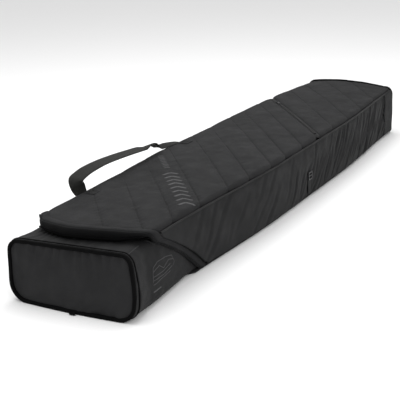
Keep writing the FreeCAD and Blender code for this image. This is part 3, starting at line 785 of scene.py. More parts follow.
def sleeve_grid(rows, counts):
    """The cap's mesh from the nose face to the mouth, with the outward direction at each point."""
    back_points, _ = arch(*CAP_NECK, SKIN, counts)
    front = nose_x(back_points[:, 0], back_points[:, 1])
    xs = front + (cap_mouth(back_points[:, 1]) - front) * sleeve_steps(rows)[:, None]
    grid = np.zeros((*xs.shape, 3))
    outward = np.zeros((*xs.shape, 3))
    stations = {}
    for i, k in np.ndindex(xs.shape):
        x = float(xs[i, k])
        station = round(x, 3)
        if station not in stations:
            stations[station] = arch(*cap_section(x), SKIN, counts)
        points, outs = stations[station]
        grid[i, k] = (x, *points[k])
        outward[i, k] = (0.0, *outs[k])
    return grid, outward


def sleeve_lift(grid, from_front):
    """Gathers at the nose and at the flap's left end, soft dents, and a dip at the second seam."""
    round_cap = grid[..., 1] + grid[..., 2]
    lift = 0.0012 * np.sin(round_cap * 210 + 4 * wobble(grid, 0.05, 12)) * np.exp(-from_front / 0.03)
    lift += 0.0018 * wobble(grid, 0.06, 13) + 0.0008 * wobble(grid, 0.02, 14)
    to_flap = mouth_x(0.0, grid[..., 1], np.full(grid.shape[:2], MAIN_HEIGHT)) - grid[..., 0]
    on_left = smooth((grid[..., 1] - 0.02) / 0.05) * smooth((grid[..., 2] - 0.14) / 0.01)
    lift += 0.0014 * np.sin(grid[..., 1] * 420) * on_left * np.exp(-np.clip(to_flap, 0.0, None) / 0.014)
    lift -= 0.0022 * np.exp(-((from_front - from_front[SEAM_ROW][None]) / 0.0030) ** 2)
    return lift * smooth(from_front / 0.01)


def build_nose_sleeve():
    """The boxy cap over the nose, with a seam round it and another along its right edge, whose cord is
    coloured light as a painted highlight along that edge.
    """
    grid, outward = sleeve_grid(58, (7, 22, 7, 64))
    lift = sleeve_lift(grid, grid[..., 0] - nose_x(grid[..., 1], grid[..., 2]))
    grid = splay(grid)
    seam = grid[SEAM_ROW] + outward[SEAM_ROW] * 0.0004
    cord = sweep("nose_second_seam", seam, AHEAD, outward[SEAM_ROW], round_profile(0.0040, 0.0024, 6))
    dress(cord, "binding")
    column = int(np.argmax(outward[0, :, 2] > 0.8))
    out = outward[SEAM_ROW:EDGE_SEAM_END, column]
    edge = grid[SEAM_ROW:EDGE_SEAM_END, column] + out * 0.0006
    sideways = np.cross(tangents(edge), out)
    # a cord along the edge seam, its light colour a painted highlight
    edge_highlight_cord = sweep("cap_edge_seam_painted_highlight", edge, sideways, out, round_profile(0.0024, 0.0022, 6))
    dress(edge_highlight_cord, "seam")
    piece = shell("nose_sleeve_cloth", grid + outward * lift[..., None],
                  grid + outward * (0.5 * lift - 0.0035)[..., None])
    return dress(piece, "cap", ("nose_sleeve",))


def full_ring(half, height, r_low, r_high, inset, raised=False, counts=(7, 22, 7, 64)):
    """Closed outline of an end face, as y and z, moved in by inset. Raised, it follows the crown."""
    points, _ = arch(half - inset, height - 2 * inset, max(r_low - inset, 0.004),
                     max(r_high - inset, 0.004), 0.0, counts)
    points = points + np.array([0.0, inset])
    n_floor = counts[3] // 2
    floor = np.linspace(points[-1, 0], points[0, 0], n_floor + 1)[1:-1]
    bottom = np.stack([floor, np.full(floor.shape, inset)], -1)
    ring = np.concatenate([points, bottom])
    if raised:
        ring[:, 1] += crown(END_X, ring[:, 0]) * smooth((ring[:, 1] - 0.11) / 0.05)
    return ring


def end_face(name, shape, x_at, facing, inset, bulge, lift_of):
    """A padded end panel built in rings from its middle to its seam."""
    ring = full_ring(*shape, inset, raised=facing > 0)
    middle = np.array([0.0, shape[1] / 2])
    shares = np.linspace(0.03, 1.0, 30) ** 0.8
    rows = []
    for share in shares:
        yz = middle + (ring - middle) * share
        rows.append(np.column_stack([x_at(yz[:, 0], yz[:, 1]), yz]))
    grid = splay(np.array(rows))
    dome = bulge * (1 - (shares ** 2)) ** 0.7
    lift = dome[:, None] + lift_of(grid) * smooth((1 - shares) / 0.06)[:, None]
    front = grid + facing * lift[..., None] * AHEAD
    back = grid - facing * 0.003 * AHEAD
    return ring_shell(name, front, back, [len(shares) - 1], capped=True)


def nose_lift(grid):
    """Gathers below the top seam and at the foot, over soft dents."""
    y, z = grid[..., 1], grid[..., 2]
    from_top = NOSE_FACE[1] - z
    puckers = np.sin(y * 250 + 5 * wobble(grid, 0.06, 20))
    lift = 0.0042 * puckers * np.exp(-from_top / 0.026) * smooth(from_top / 0.008)
    foot = np.sin((y + z) * 170 + 4 * wobble(grid, 0.05, 26)) * np.exp(-z / 0.022)
    lift += 0.0026 * foot * smooth((0.03 - y) / 0.08)
    return lift + 0.0040 * wobble(grid, 0.07, 21) + 0.0012 * wobble(grid, 0.025, 22)


def tail_lift(grid):
    return 0.0025 * wobble(grid, 0.07, 24) + 0.0009 * wobble(grid, 0.025, 25)


def end_binding(name, shape, x_at, width, thickness, raised=False):
    """Binding tape round the border of an end face."""
    ring = full_ring(*shape, 0.5 * width, raised)
    path = splay(np.column_stack([x_at(ring[:, 0], ring[:, 1]), ring]))
    out = np.cross(tangents(path, closed=True), AHEAD)
    path = path + out * (0.0007 * wobble(path, 0.03, 30))[:, None]
    return sweep(name, path, out, AHEAD, round_profile(width, thickness, 12), closed=True)


def build_ends():
    """The two end panels with the tape that binds their seams."""
    def tail_x(y, z):
        return np.full(z.shape, END_X + 0.002)

    def binding_x(y, z):
        return nose_x(y, z) - 0.002

    face = end_face("nose_face_cloth", NOSE_FACE, nose_x, -1.0, 0.002, 0.006, nose_lift)
    # the nose face takes the lighter end tone, which is painted light
    dress(face, "nose", ("nose_end_panel",))
    tape = end_binding("nose_binding_tape", NOSE_FACE, binding_x, 0.0092, 0.0096)
    dress(tape, "binding", ("nose_binding",))
    shape = (TAIL_HALF, TAIL_HEIGHT, CORNER, 0.024)
    face = end_face("tail_face_cloth", shape, tail_x, 1.0, 0.002, 0.005, tail_lift)
    # the tail face takes the same lighter end tone, painted light
    dress(face, "nose", ("tail_end_panel",))
    shape = (TAIL_HALF + 0.004, TAIL_HEIGHT + 0.004, CORNER, 0.026)
    tape = end_binding("tail_binding_tape", shape, tail_x, 0.0088, 0.0090, raised=True)
    dress(tape, "binding", ("tail_binding",))


def build_base():
    """The floor of the bag, from the nose to the tail, turned up a little at its edges."""
    u = np.linspace(0.0, 1.0, 190)
    v = np.linspace(-1.0, 1.0, 30)
    nose_half = NOSE_FACE[0] - 0.022
    x = -END_X + 2 * END_X * u
    cap_half = nose_half - (nose_half - CAP_NECK[0] + 0.010) * smooth((x + END_X) / 0.06)
    behind = smooth((x - FREE_EDGE[0]) / 0.03)
    half = cap_half + (half_width(x) - 0.004 - cap_half) * behind
    y = half[:, None] * v[None]
    x = nose_x(y, 0.0 * y) * (1 - u[:, None]) + (END_X - 0.001) * u[:, None]
    turned = smooth((np.abs(v) - 0.96) / 0.04) * 0.0025
    grid = splay(np.stack([x, y, np.broadcast_to(turned, y.shape)], -1))
    piece = shell("base_cloth", grid + UP * 0.0034, grid)
    dress(piece, "side", ("base_panel",))


# ---- Carry handle -------------------------------------------------------------------------
def build_handle():
    """Webbing that rises from the near anchor, folds over and runs back to the far one."""
    rows = [
        # x, y, z, width direction, width
        ((-0.6475, 0.157, 0.1700), (1.0, -0.25, 0.0), 0.040),
        ((-0.648, 0.158, 0.1765), (1.0, -0.25, 0.0), 0.040),
        ((-0.652, 0.160, 0.1860), (0.9, -0.45, 0.0), 0.040),
        ((-0.656, 0.163, 0.1960), (0.75, -0.6, 0.0), 0.038),
        ((-0.651, 0.168, 0.207), (0.35, -0.85, -0.25), 0.037),
        ((-0.628, 0.170, 0.213), (0.1, -0.95, -0.27), 0.036),
        ((-0.590, 0.171, 0.218), (0.0, -0.96, -0.25), 0.036),
        ((-0.520, 0.171, 0.220), (0.0, -0.98, -0.19), 0.035),
        ((-0.430, 0.171, 0.216), (0.0, -0.98, -0.16), 0.035),
        ((-0.335, 0.171, 0.209), (0.0, -0.98, -0.14), 0.034),
        ((-0.305, 0.171, 0.2065), (0.0, -0.99, -0.12), 0.034),
        ((-0.280, 0.171, 0.2065), (0.0, -0.95, 0.30), 0.032),
        ((-0.262, 0.172, 0.2065), (0.0, -0.92, 0.40), 0.030),
        ((-0.235, 0.174, 0.2000), (0.0, -0.90, 0.43), 0.024),
        ((-0.212, 0.176, 0.1880), (0.0, -0.93, 0.30), 0.019),
        ((-0.190, 0.178, 0.1825), (0.0, -0.75, -0.65), 0.018),
        ((-0.160, 0.178, 0.1800), (0.0, -0.80, -0.60), 0.020),
        ((-0.120, 0.178, 0.1765), (0.0, -0.95, -0.30), 0.020),
        ((-0.085, 0.178, 0.1730), (0.0, -1.0, 0.0), 0.020),
    ]
    count = 110
    corners = [row[0] for row in rows]
    directions = curve_values(corners, [row[1] for row in rows], count)
    widths = curve_values(corners, [[row[2]] for row in rows], count)[:, 0]
    piece = ribbon("handle_strap", curve_points(corners, count), directions, widths, 0.0026)
    dress(piece, "webbing", ("carry_handle",), body=None)
    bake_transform(piece)


# ---- Foam boards and linings --------------------------------------------------------------
BOARD_FRONT, BOARD_BACK = -0.598, 0.930
TUBE_FRONT = -0.574  # the lining and the base's foam start here
CAP_LINING_FRONT = -0.928
LINING = 0.0008


def board(name, grid, outward, start, thickness, node, body="bag"):
    """A foam board that lies `start` below a surface."""
    normals = grid_normals(grid, outward)
    soft = 0.0008 * (1 - np.exp(-edge_distance(grid) / 0.004)) + 0.0003 * wobble(grid, 0.08, 40)
    outer = grid - normals * (start + 0.0008 - soft)[..., None]
    inner = grid - normals * (start + thickness)
    dress(shell(name, outer, inner), "foam", (node,), body)


def plane(first, second, steps):
    """Two grids of values: the first changes from row to row, the second from column to column."""
    return np.meshgrid(np.linspace(*first, steps[0]), np.linspace(*second, steps[1]), indexing="ij")


def build_foam():
    """Boards behind the sides, the top, the hood and the base, and a pad behind each end."""
    for side, name in ((LEFT, "left"), (RIGHT, "right")):
        x, z = plane((BOARD_FRONT, BOARD_BACK), (0.136, 0.024), (150, 14))
        grid = side_point(x, z, side) - side * SIDE_BULGE * ACROSS
        board("side_foam_board_" + name, grid, side * ACROSS, 0.0042, FOAM, "side_foam_" + name)
    grid = top_point(*plane((FOLD_X + 0.001, BOARD_BACK), (-0.86, 0.86), (150, 30)))
    board("top_foam_layer", grid, UP, 0.0075, FOAM - 0.001, "top_foam_board")
    grid = top_point(*plane((-0.760, FOLD_X - 0.001), (-0.80, 0.80), (12, 30)))
    board("hood_foam_layer", grid, UP, 0.0075, FOAM - 0.001, "hood_foam_board", "hood")
    x, y = plane((TUBE_FRONT, BOARD_BACK), (-0.148, 0.148), (120, 24))
    grid = np.stack([x, y, np.full(x.shape, 0.0100)], -1)
    board("base_foam_layer", grid, UP, 0.0, FOAM, "base_foam_board")
    end_foam("nose_foam_layer", full_ring(*NOSE_FACE, 0.012), nose_x, (0.0042, 0.0128), "nose_foam_pad")
    ring = full_ring(TAIL_HALF, TAIL_HEIGHT, CORNER, CORNER, 0.006)
    end_foam("tail_foam_layer", ring, lambda y, z: 0 * y + END_X, (-0.0105, -0.0015), "tail_foam_pad")


def end_foam(name, ring, x_at, span, node):
    """A foam pad behind an end face, from span[0] to span[1] inside it, its rims a little rounded."""
    middle = ring.mean(0)
    rim = 0.0015
    front = [(span[0], 0.01), (span[0], 0.5), (span[0], 0.96), (span[0] + rim, 1.0)]
    back = [(span[1] - rim, 1.0), (span[1], 0.96), (span[1], 0.5), (span[1], 0.01)]
    rows = []
    for depth, share in front + back:
        yz = middle + (ring - middle) * share
        rows.append(np.column_stack([x_at(yz[:, 0], yz[:, 1]) + depth, yz]))
    count = len(ring)
    last = (len(rows) - 1) * count
    faces = grid_quads(len(rows), count, 0, True)
    faces += [tuple(range(count)), tuple(last + j for j in range(count))[::-1]]
    dress(make_object(name, splay(np.array(rows)), faces), "foam", (node,))


def tube_sheet(name, rings, xs, thickness, node, ripple):
    """A lining sewn into a tube: one ring of y and z at each x."""
    rows = splay(np.array([np.column_stack([x, ring]) for x, ring in zip(xs, rings)]))
    inward = (np.array([0.0, 0.0, 0.08]) - rows) * (ACROSS + UP)
    inward /= np.linalg.norm(inward, axis=-1, keepdims=True)
    outer = rows + inward * (ripple * (0.5 + 0.5 * wobble(rows, 0.12, 43)))[..., None]
    piece = ring_shell(name, outer, outer + inward * thickness, [0, len(rows) - 1])
    dress(piece, "lining", (node,))


def build_linings():
    """One lining in the main tube, and one in the cap that narrows behind the nose face."""
    counts = (5, 12, 5, 30)
    xs = np.linspace(TUBE_FRONT, BOARD_BACK - 0.002, 90)
    rings = [full_ring(half_width(x), top_height(x), CORNER, CORNER, 0.0112, False, counts) for x in xs]
    tube_sheet("lining_tube", rings, [np.full(len(rings[0]), x) for x in xs], LINING, "lining", 0.004)
    ring = full_ring(*CAP_NECK, 0.0080, False, counts)
    wide = full_ring(*NOSE_FACE, 0.0090, False, counts)
    mouth = cap_mouth(ring[:, 1], 0.004)
    rings, places = [], []
    for share in np.linspace(0.0, 1.0, 30):
        x = CAP_LINING_FRONT + (mouth - CAP_LINING_FRONT) * share
        near = np.clip(1.0 - (x - CAP_LINING_FRONT) / 0.045, 0.0, 1.0)[:, None]
        rings.append(wide * near + ring * (1 - near))
        places.append(x)
    tube_sheet("nose_lining_tube", rings, places, LINING, "nose_lining", 0.002)


# ---- Mouth zip and pocket zip -------------------------------------------------------------
TEETH_PITCH = 0.0025


def mouth_path(shift, low_z, high_z=1.0):
    """Points and outward directions along the cap's rear edge, between two heights."""
    points, outs = arch(*CAP_BACK, SKIN, (4, 26, 7, 60))
    keep = (points[:, 1] >= low_z) & (points[:, 1] <= high_z)
    x = FREE_EDGE[0] + shift - MOUTH_SLOPE * (points[keep, 1] - FREE_EDGE[1])
    return np.column_stack([x, points[keep]]), np.column_stack([np.zeros(len(x)), outs[keep]])


def block(length, width, height):
    """Corner points of a small tapered block and its faces."""
    l, w, h = length / 2, width / 2, height
    low = [(-l, -w, 0), (l, -w, 0), (l, w, 0), (-l, w, 0)]
    high = [(x * 0.7, y * 0.7, h) for x, y, _ in low]
    faces = [(3, 2, 1, 0), (4, 5, 6, 7), (0, 1, 5, 4), (1, 2, 6, 5), (2, 3, 7, 6), (3, 0, 4, 7)]
    return low + high, faces


def row_of_blocks(path, outs, size, pitch):
    """Small blocks set along a path at a pitch: zip teeth or stitches. Size is along, across, out."""
    path = np.asarray(path, float)
    place = np.concatenate([[0.0], np.cumsum(np.linalg.norm(np.diff(path, axis=0), axis=1))])
    stops = np.arange(pitch / 2, place[-1], pitch)
    centres = np.stack([np.interp(stops, place, path[:, k]) for k in range(3)], -1)
    ups = np.stack([np.interp(stops, place, np.asarray(outs)[:, k]) for k in range(3)], -1)
    ups /= np.linalg.norm(ups, axis=1, keepdims=True)
    corners, sides = block(*size)
    vertices, faces = [], []
    for centre, up, ahead in zip(centres, ups, tangents(centres)):
        across = np.cross(up, ahead)
        start = len(vertices)
        vertices += [centre + ahead * a + across * b + up * c for a, b, c in corners]
        faces += [tuple(start + k for k in side) for side in sides]
    return vertices, faces


def blocks_object(name, rows):
    """One object from several rows of blocks."""
    vertices, faces = [], []
    for some_vertices, some_faces in rows:
        start = len(vertices)
        vertices += list(some_vertices)
        faces += [tuple(start + k for k in face) for face in some_faces]
    return make_object(name, vertices, faces, False)


def mouth_strip(name, shifts, low_z, depth):
    """A strip that follows the cap's rear edge, from one shift to another along X."""
    path, outs = mouth_path(shifts[0], low_z)
    wide = shifts[1] - shifts[0]
    low, high = depth
    profile = [(0, low), (0, high), (wide * 0.5, high + 0.0002), (wide, high), (wide, low)]
    return sweep(name, path, AHEAD, outs, profile)


def mouth_teeth(name, shift, low_z, node, body):
    path, outs = mouth_path(shift, low_z)
    teeth = blocks_object(name, [row_of_blocks(path, outs, (0.0016, 0.0034, 0.0022), TEETH_PITCH)])
    dress(teeth, "coil", (node,), body)


def build_mouth_zip():
    """Tape and teeth on the cap and on the hood, the facing behind them and the closed lower ends."""
    tape_depth = (0.0002, 0.0010)
    tape = mouth_strip("cap_zip_tape_weave", (-0.0015, 0.0143), ZIP_LOW_Z, tape_depth)
    dress(tape, "tape", ("cap_zip_tape",))
    tape = mouth_strip("hood_zip_tape_weave", (0.0227, 0.0560), ZIP_OPEN_Z, tape_depth)
    dress(tape, "tape", ("hood_zip_tape",), "hood")
    facing = mouth_strip("hood_facing_cloth", (0.0562, 0.0598), ZIP_OPEN_Z, (0.0010, 0.0035))
    dress(facing, "lining", ("mouth_facing",), "hood")
    mouth_teeth("cap_zip_teeth", 0.0162, ZIP_LOW_Z, "cap_zip_coil", "bag")
    mouth_teeth("hood_zip_teeth", 0.0207, ZIP_OPEN_Z, "hood_zip_coil", "hood")
    path, outs = mouth_path(0.0205, ZIP_LOW_Z, ZIP_OPEN_Z - 0.001)
    on_left = path[:, 1] > 0
    rows = [row_of_blocks(path[keep], outs[keep], (0.0016, 0.0036, 0.0020), TEETH_PITCH)
            for keep in (on_left, ~on_left)]
    dress(blocks_object("closed_zip_teeth", rows), "coil", ("zip_ends",))


POUCH_SHORT = 0.012  # the pouch stops this far inside each end of the zip


def pocket_frame():
    """Where the pocket zip starts, its direction, the direction across it and its length."""
    start = np.array([*POCKET_START, 0.0])
    end = np.array([*POCKET_END, 0.0])
    along = (end - start) / np.linalg.norm(end - start)
    return start, along, np.array([-along[1], along[0], 0.0]), float(np.linalg.norm(end - start))


def pocket_path():
    """The zip's middle line below the top surface, and the upward direction along it."""
    v = np.linspace(-0.965, 0.965, 120)
    x = np.zeros(v.shape)
    for _ in range(6):
        x = pocket_x(top_point(x, v)[:, 1])
    ups = np.cross(AHEAD, np.gradient(top_point(x, v) * (ACROSS + UP), axis=0))
    ups /= np.linalg.norm(ups, axis=1, keepdims=True)
    return top_point(x, v) - ups * 0.0034, ups


def build_pocket():
    """Tape, teeth and pouch of the pocket zip, in the groove between the two top panels."""
    start, along, across, length = pocket_frame()
    path, ups = pocket_path()
    profile = [(-0.0078, -0.0012), (0.0078, -0.0012), (0.0078, 0.0), (-0.0078, 0.0)]
    tape = sweep("pocket_zip_tape_weave", path, across, ups, profile)
    dress(tape, "tape", ("pocket_zip_tape",))
    inside = (path - start) @ along
    keep = (inside > 0.004) & (inside < length - 0.004)
    rows = [row_of_blocks(path[keep] + across * off, ups[keep], (0.0014, 0.0030, 0.0014), 0.0022)
            for off in (-0.0014, 0.0014)]
    dress(blocks_object("pocket_zip_teeth", rows), "coil", ("pocket_zip_coil",))
    offsets = np.linspace(-0.118, 0.018, 16)
    first = np.maximum(POUCH_SHORT, (start[1] + across[1] * offsets - 0.160) / -along[1])
    share = np.linspace(0.0, 1.0, 40)[:, None]
    run = first[None] * (1 - share) + (length - POUCH_SHORT) * share
    grid = start + along * run[..., None] + across * offsets[None, :, None]
    grid[..., 2] = MAIN_HEIGHT - 0.0046 + 0.0003 * wobble(grid, 0.06, 50)
    pouch = shell("pocket_pouch_cloth", grid, grid - UP * 0.0006)
    dress(pouch, "lining", ("pocket_pouch",))


# ---- Webbing, patches and tabs ------------------------------------------------------------
def build_side_strap():
    heights = np.linspace(0.014, 0.084, 24)
    y = -half_width(BUCKLE_X) - 0.0010 - 0.0006 * np.sin(60 * heights)
    path = np.stack([np.full(heights.shape, BUCKLE_X), y, heights], -1)
    piece = ribbon("side_strap_webbing", path, AHEAD, 0.020, 0.0014)
    dress(piece, "strap", ("side_strap",))


def joined(name, pieces):
    """One object from several. Those that found no surface to lie on are None and are left out."""
    vertices, faces = [], []
    for piece in pieces:
        if piece is None:
            continue
        start = len(vertices)
        vertices += [tuple(v.co) for v in piece.data.vertices]
        faces += [tuple(start + k for k in p.vertices) for p in piece.data.polygons]
        bpy.data.objects.remove(piece)
    return make_object(name, vertices, faces)


def tail_patch(side):
    """The second layer of cloth round a tail corner, with a hollow in its front edge."""
    x, z = plane((0.850, 0.9445), (0.158, 0.010), (22, 34))
    hollow = np.sin(np.pi * np.clip((z - 0.055) / 0.065, 0.0, 1.0))
    x = x - 0.010 * hollow * np.clip((0.9 - x) / 0.05, 0, 1)
    grid = side_point(x, z, side)
    normals = grid_normals(grid, side * ACROSS)
    rise = 0.0016 + 0.0012 * (1 - np.exp(-edge_distance(grid) / 0.003))
    return shell("patch", grid + normals * rise[..., None], grid - normals * 0.001)


def tail_tab(side):
    path = [(x, side * 0.122, z) for x, z in
            ((0.9500, 0.0030), (0.9540, 0.0042), (0.9580, 0.0040), (0.9600, 0.0028))]
    return ribbon("tab", curve_points(path, 12), ACROSS, 0.020, 0.0030)


def build_tail_details():
    """Corner patches, the two small tabs at the floor, and the grab loop with its anchor."""
    patches = joined("tail_patch_cloth", [tail_patch(side) for side in (LEFT, RIGHT)])
    # the patches take the top's lighter tone, which is painted light
    dress(patches, "top", ("tail_side_patches",))
    tabs = joined("tail_tab_webbing", [tail_tab(side) for side in (LEFT, RIGHT)])
    dress(tabs, "strap", ("tail_bottom_tabs",))
    path = [(0.9512, 0.0, 0.1410), (0.9514, 0.0, 0.1490), (0.9512, 0.0, 0.1570)]
    anchor = ribbon("tail_loop_anchor_webbing", curve_points(path, 14), ACROSS, 0.025, 0.0024)
    dress(anchor, "strap", ("tail_loop_anchor",))
    loop = [(0.9575, 0.0, 0.1390), (0.9562, 0.0, 0.128), (0.9560, 0.0, 0.100), (0.9568, 0.0, 0.068),
            (0.9592, 0.0, 0.0545), (0.9620, 0.0, 0.0530), (0.9648, 0.0, 0.0560), (0.9662, 0.0, 0.072),
            (0.9664, 0.0, 0.100), (0.9650, 0.0, 0.124), (0.9620, 0.0, 0.1340), (0.9588, 0.0, 0.1392)]
    loop = ribbon("grab_loop_webbing", curve_points(loop, 60), ACROSS, 0.025, 0.0018)
    dress(loop, "strap", ("tail_grab_loop",), "tail_grab_loop")


def build_tail_slit_shadow(side_cloth):
    """A painted shadow in the hollow in front of the right tail patch: black strokes on the side cloth,
    with a small dark dot above them.
    """
    tree = surface_of(side_cloth)
    line = [(0.838, 0.116), (0.833, 0.104), (0.832, 0.090), (0.837, 0.074), (0.844, 0.062)]
    strokes = side_strokes(tree, line, 0.0050, 0.0012, 0.003)
    strokes += side_strokes(tree, [(0.843, 0.121), (0.843, 0.127)], 0.0060, 0.0014, 0.003)
    # the black binding colour on these strokes is painted shadow
    dress(joined("tail_slit_painted_shadow", strokes), "binding")


def build_nose_tab():
    path = [(x, -0.024, z) for x, z in
            ((-0.9790, 0.0064), (-0.9860, 0.0054), (-0.9895, 0.0032), (-0.9860, 0.0014))]
    tab = ribbon("nose_tab_webbing", curve_points(path, 16), ACROSS, 0.015, 0.0020)
    dress(tab, "binding", ("nose_pull_tab",))


def build_handle_patches():
    """Sewn squares of webbing under the handle's ends, each with a boxed cross of stitches."""
    pieces, rows = [], []
    thickness = 0.0014
    for x in HANDLE_X:
        y = float(half_width(x)) - 0.034
        gx, gy = plane((x - 0.019, x + 0.019), (y - 0.014, y + 0.014), (12, 10))
        grid = np.stack([gx, gy, top_height(gx) + crown(gx, gy)], -1)
        pieces.append(shell("patch", grid + UP * thickness, grid - UP * 0.002))
        z = float(grid[..., 2].mean()) + thickness
        a, b = 0.015, 0.010
        turns = ((-1, -1), (1, -1), (1, 1), (-1, 1), (-1, -1), (1, 1))
        line = [(x + a * p, y + b * q, z) for p, q in turns]
        rows.append(row_of_blocks(line, np.tile(UP, (len(line), 1)), (0.0028, 0.0008, 0.0007), 0.0038))
    dress(joined("handle_patch_webbing", pieces), "flap", ("handle_anchor_patches",))
    dress(blocks_object("handle_patch_stitches", rows), "thread")


def build_hold_downs():
    """The webbing of the two straps that lie across the floor of the bag."""
    pieces = []
    for x in STRAP_X:
        path = [(x, -0.004, 0.0144), (x, 0.050, 0.0146), (x, 0.104, 0.0142), (x, 0.130, 0.0134)]
        pieces.append(ribbon("strap", curve_points(path, 30), AHEAD, 0.025, 0.0014))
    dress(joined("hold_down_straps", pieces), "strap", ("hold_down_webbing",))


# ---- Stitches and prints ------------------------------------------------------------------
ABOVE = 0.3  # strokes and stitches drop onto the top from this height
BESIDE = -0.3  # and onto the right side from this y


def surface_of(piece):
    return BVHTree.FromPolygons([v.co.copy() for v in piece.data.vertices],
                                [tuple(p.vertices) for p in piece.data.polygons])


def drop(tree, point, direction):
    """Where a point lands on a surface when it moves along a direction, and the normal there."""
    hit, normal, _, _ = tree.ray_cast(Vector(point), Vector(direction))
    if hit is None:
        return None
    return np.array(hit), -np.sign(Vector(normal).dot(Vector(direction)) or 1.0) * np.array(normal)


def laid_stroke(tree, a, b, width, direction, thick=0.00035, step=0.004):
    """A strip of print or cloth from a to b that lies on a surface, or None where it misses it."""
    a, b = np.array(a, float), np.array(b, float)
    along = (b - a) / np.linalg.norm(b - a)
    across = np.cross(along, direction)
    across /= np.linalg.norm(across)
    count = max(2, int(np.linalg.norm(b - a) / step) + 1)
    lanes = max(2, int(width / step) + 2)
    outer, inner = [], []
    for t in np.linspace(0.0, 1.0, count):
        row = [drop(tree, a + (b - a) * t + across * width * lane, direction)
               for lane in np.linspace(-0.5, 0.5, lanes)]
        if None in row:
            return None
        outer.append([spot + normal * thick for spot, normal in row])
        inner.append([spot - normal * 0.0003 for spot, normal in row])
    return shell("stroke", np.array(outer), np.array(inner))


def side_strokes(tree, line, width, thick=0.00035, step=0.004):
    """Strokes on the right side of the bag along a line of x and z."""
    return [laid_stroke(tree, (p[0], BESIDE, p[1]), (q[0], BESIDE, q[1]), width, ACROSS, thick, step)
            for p, q in zip(line, line[1:])]


def chevrons(tree, first, run, count, pitch, tip, half, width):
    """A row of plain chevrons along the top, each from two strokes."""
    cross = np.array([run[1], -run[0], 0.0])
    strokes = []
    for k in range(count):
        start = first + run * pitch * k
        strokes.append(laid_stroke(tree, start - cross * half, start + run * tip, width, -UP))
        strokes.append(laid_stroke(tree, start + run * tip, start + cross * half, width, -UP))
    return strokes


def build_prints(top, sleeve):
    """Generic marks where the bag carries printing: chevrons on top, a ridge line on the cap."""
    tree = surface_of(top)
    run = np.array([QUILT_SLOPE, 1.0, 0.0]) / math.hypot(QUILT_SLOPE, 1.0)
    first = np.array([-0.655, -0.150, ABOVE])
    strokes = chevrons(tree, first + run * 0.014, run, 9, 0.0345, 0.014, 0.020, 0.0075)
    strokes += chevrons(tree, first + run * 0.358, run, 9, 0.0165, 0.006, 0.008, 0.0040)
    dress(joined("top_print_marks", strokes), "print", body=FOLD)
    tree = surface_of(sleeve)
    frame_line = [(-0.870, 0.058), (-0.866, 0.075), (-0.858, 0.089), (-0.834, 0.096), (-0.795, 0.095),
                  (-0.761, 0.088), (-0.752, 0.070), (-0.762, 0.062)]
    ridge = [(-0.864, 0.080), (-0.830, 0.086), (-0.812, 0.074), (-0.780, 0.084), (-0.758, 0.078)]
    slopes = [[(-0.868, 0.070), (-0.820, 0.068), (-0.775, 0.072)],
              [(-0.870, 0.062), (-0.815, 0.060), (-0.768, 0.064)], [(-0.870, 0.052), (-0.780, 0.056)]]
    strokes = []
    for line in [frame_line, ridge] + slopes:
        strokes += side_strokes(tree, line, 0.0014)
    strokes += side_strokes(tree, [(-0.872, 0.036), (-0.832, 0.035)], 0.0036)
    dress(joined("cap_print_marks", strokes), "print")


def stitched(tree, line):
    """A row of stitches laid on the top along a line of points above it."""
    landed = [drop(tree, point, -UP) for point in line]
    path = [spot for spot, _ in filter(None, landed)]
    outs = [normal for _, normal in filter(None, landed)]
    return row_of_blocks(path, outs, (0.0030, 0.0009, 0.0007), 0.0042)


def quilt_line(c):
    """Points above a quilting seam, from the right edge of the top to the left one."""
    y = np.linspace(-0.178, 0.178, 120)
    x = c + QUILT_SLOPE * y
    inside = np.abs(y) < half_width(x) - 0.012
    return np.stack([x[inside], y[inside], np.full(inside.sum(), ABOVE)], -1)


def build_stitches(front, rear):
    """Stitches along every quilting seam and along both edges of the pocket's groove."""
    front_tree, rear_tree = surface_of(front), surface_of(rear)
    rows = [stitched(front_tree, quilt_line(c)) for c in QUILT_LINES if c <= POCKET_SPLIT]
    stitches = blocks_object("quilt_stitches_front", rows)
    dress(stitches, "thread", body=FOLD)
    rows = [stitched(rear_tree, quilt_line(c)) for c in QUILT_LINES if c > POCKET_SPLIT]
    for sign, tree in ((-1.0, front_tree), (1.0, rear_tree)):
        y = np.linspace(-0.175, 0.165, 150)
        x = pocket_x(y) + sign * (POCKET_SHIFT + 0.006)
        rows.append(stitched(tree, np.stack([x, y, np.full(y.shape, ABOVE)], -1)))
    dress(blocks_object("quilt_stitches_rear", rows), "thread")


# ---- Camera, floor and light --------------------------------------------------------------
CAMERA_TURN = (-63.4528, 17.0314, -1.2857)  # azimuth, elevation and roll in degrees
CAMERA_DISTANCE = 3.1419
CAMERA_TARGET = Vector((-0.2463, 0.0, 0.0514))
CAMERA_LENS = 100.753  # mm on a 36 mm sensor
CAMERA_SHIFT = (-0.01944, 0.00642)


def build_camera():
    azimuth, elevation, roll = (math.radians(angle) for angle in CAMERA_TURN)
    back = Vector((math.sin(azimuth) * math.cos(elevation), -math.cos(azimuth) * math.cos(elevation),
                   math.sin(elevation)))
    right = Vector((0, 0, 1)).cross(back).normalized()
    up = back.cross(right)
    turned_right = right * math.cos(roll) + up * math.sin(roll)
    turned_up = up * math.cos(roll) - right * math.sin(roll)
    data = bpy.data.cameras.new("camera")
    camera = bpy.data.objects.new("camera", data)
    bpy.context.scene.collection.objects.link(camera)
    rotation = Matrix((turned_right, turned_up, back)).transposed()
    camera.matrix_world = Matrix.Translation(CAMERA_TARGET + back * CAMERA_DISTANCE) @ rotation.to_4x4()
    data.sensor_width = 36.0
    data.lens = CAMERA_LENS
    data.shift_x, data.shift_y = CAMERA_SHIFT
    data.clip_end = 50.0
    bpy.context.scene.camera = camera


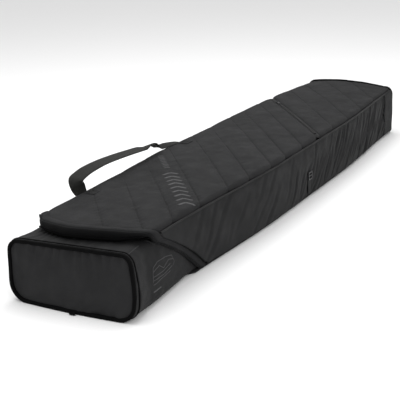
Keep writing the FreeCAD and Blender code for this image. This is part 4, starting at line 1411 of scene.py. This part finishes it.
def area_light(name, place, aim, size, power):
    data = bpy.data.lights.new(name, "AREA")
    data.shape = "RECTANGLE"
    data.size, data.size_y = size
    data.energy = power
    light = bpy.data.objects.new(name, data)
    light.location = place
    light.rotation_euler = (Vector(aim) - Vector(place)).to_track_quat("-Z", "Y").to_euler()
    bpy.context.scene.collection.objects.link(light)


def build_studio():
    """A pale floor, an even white sky and two soft lights."""
    floor = make_object("studio_floor", [(-12, -12, 0), (12, -12, 0), (12, 12, 0), (-12, 12, 0)],
                        [(0, 1, 2, 3)], False)
    material, _, shader, _ = new_material("pale_floor")
    shader.inputs["Base Color"].default_value = (0.93, 0.93, 0.93, 1)
    shader.inputs["Roughness"].default_value = 0.9
    floor.data.materials.append(material)
    world = bpy.data.worlds.new("studio")
    bpy.context.scene.world = world
    world.use_nodes = True
    sky = world.node_tree.nodes["Background"]
    sky.inputs["Color"].default_value = (1.0, 1.0, 1.0, 1)
    sky.inputs["Strength"].default_value = 0.75
    area_light("overhead", (0.2, 0.4, 2.6), (0, 0, 0), (3.2, 2.0), 60.0)
    area_light("front_left", (-2.6, -2.4, 1.6), (-0.4, 0, 0.1), (1.6, 1.2), 22.0)
    bpy.context.scene.view_settings.view_transform = "Standard"
    bpy.context.scene.view_settings.exposure = 0.0


# ---- Frame pieces that keep their shape ---------------------------------------------------
KEPT_LOOKS = {
    "plastic": ["side_buckle", "hold_down_sockets", "hold_down_tongue_front", "hold_down_tongue_rear"],
    "metal": ["mouth_slider_left", "mouth_slider_right", "mouth_pull_left", "mouth_pull_right",
              "pocket_slider", "pocket_pull", "pocket_zip_stops"],
}


def dress_frame():
    """Better materials on the small hard pieces, which keep their shape from the frame."""
    for look, names in KEPT_LOOKS.items():
        for name in names:
            NODES[name].data.materials.clear()
            NODES[name].data.materials.append(MATERIALS[look])


build_camera()
build_studio()
dress_frame()
top_front, top_rear = build_top()
build_side(LEFT, "left")
right_side = build_side(RIGHT, "right")
build_flap()
build_piping()
nose_sleeve = build_nose_sleeve()
build_ends()
build_base()
build_foam()
build_linings()
build_mouth_zip()
build_pocket()
build_handle()
build_handle_patches()
build_side_strap()
build_tail_details()
build_tail_slit_shadow(right_side)
build_nose_tab()
build_hold_downs()
build_prints(top_front, nose_sleeve)
build_stitches(top_front, top_rear)
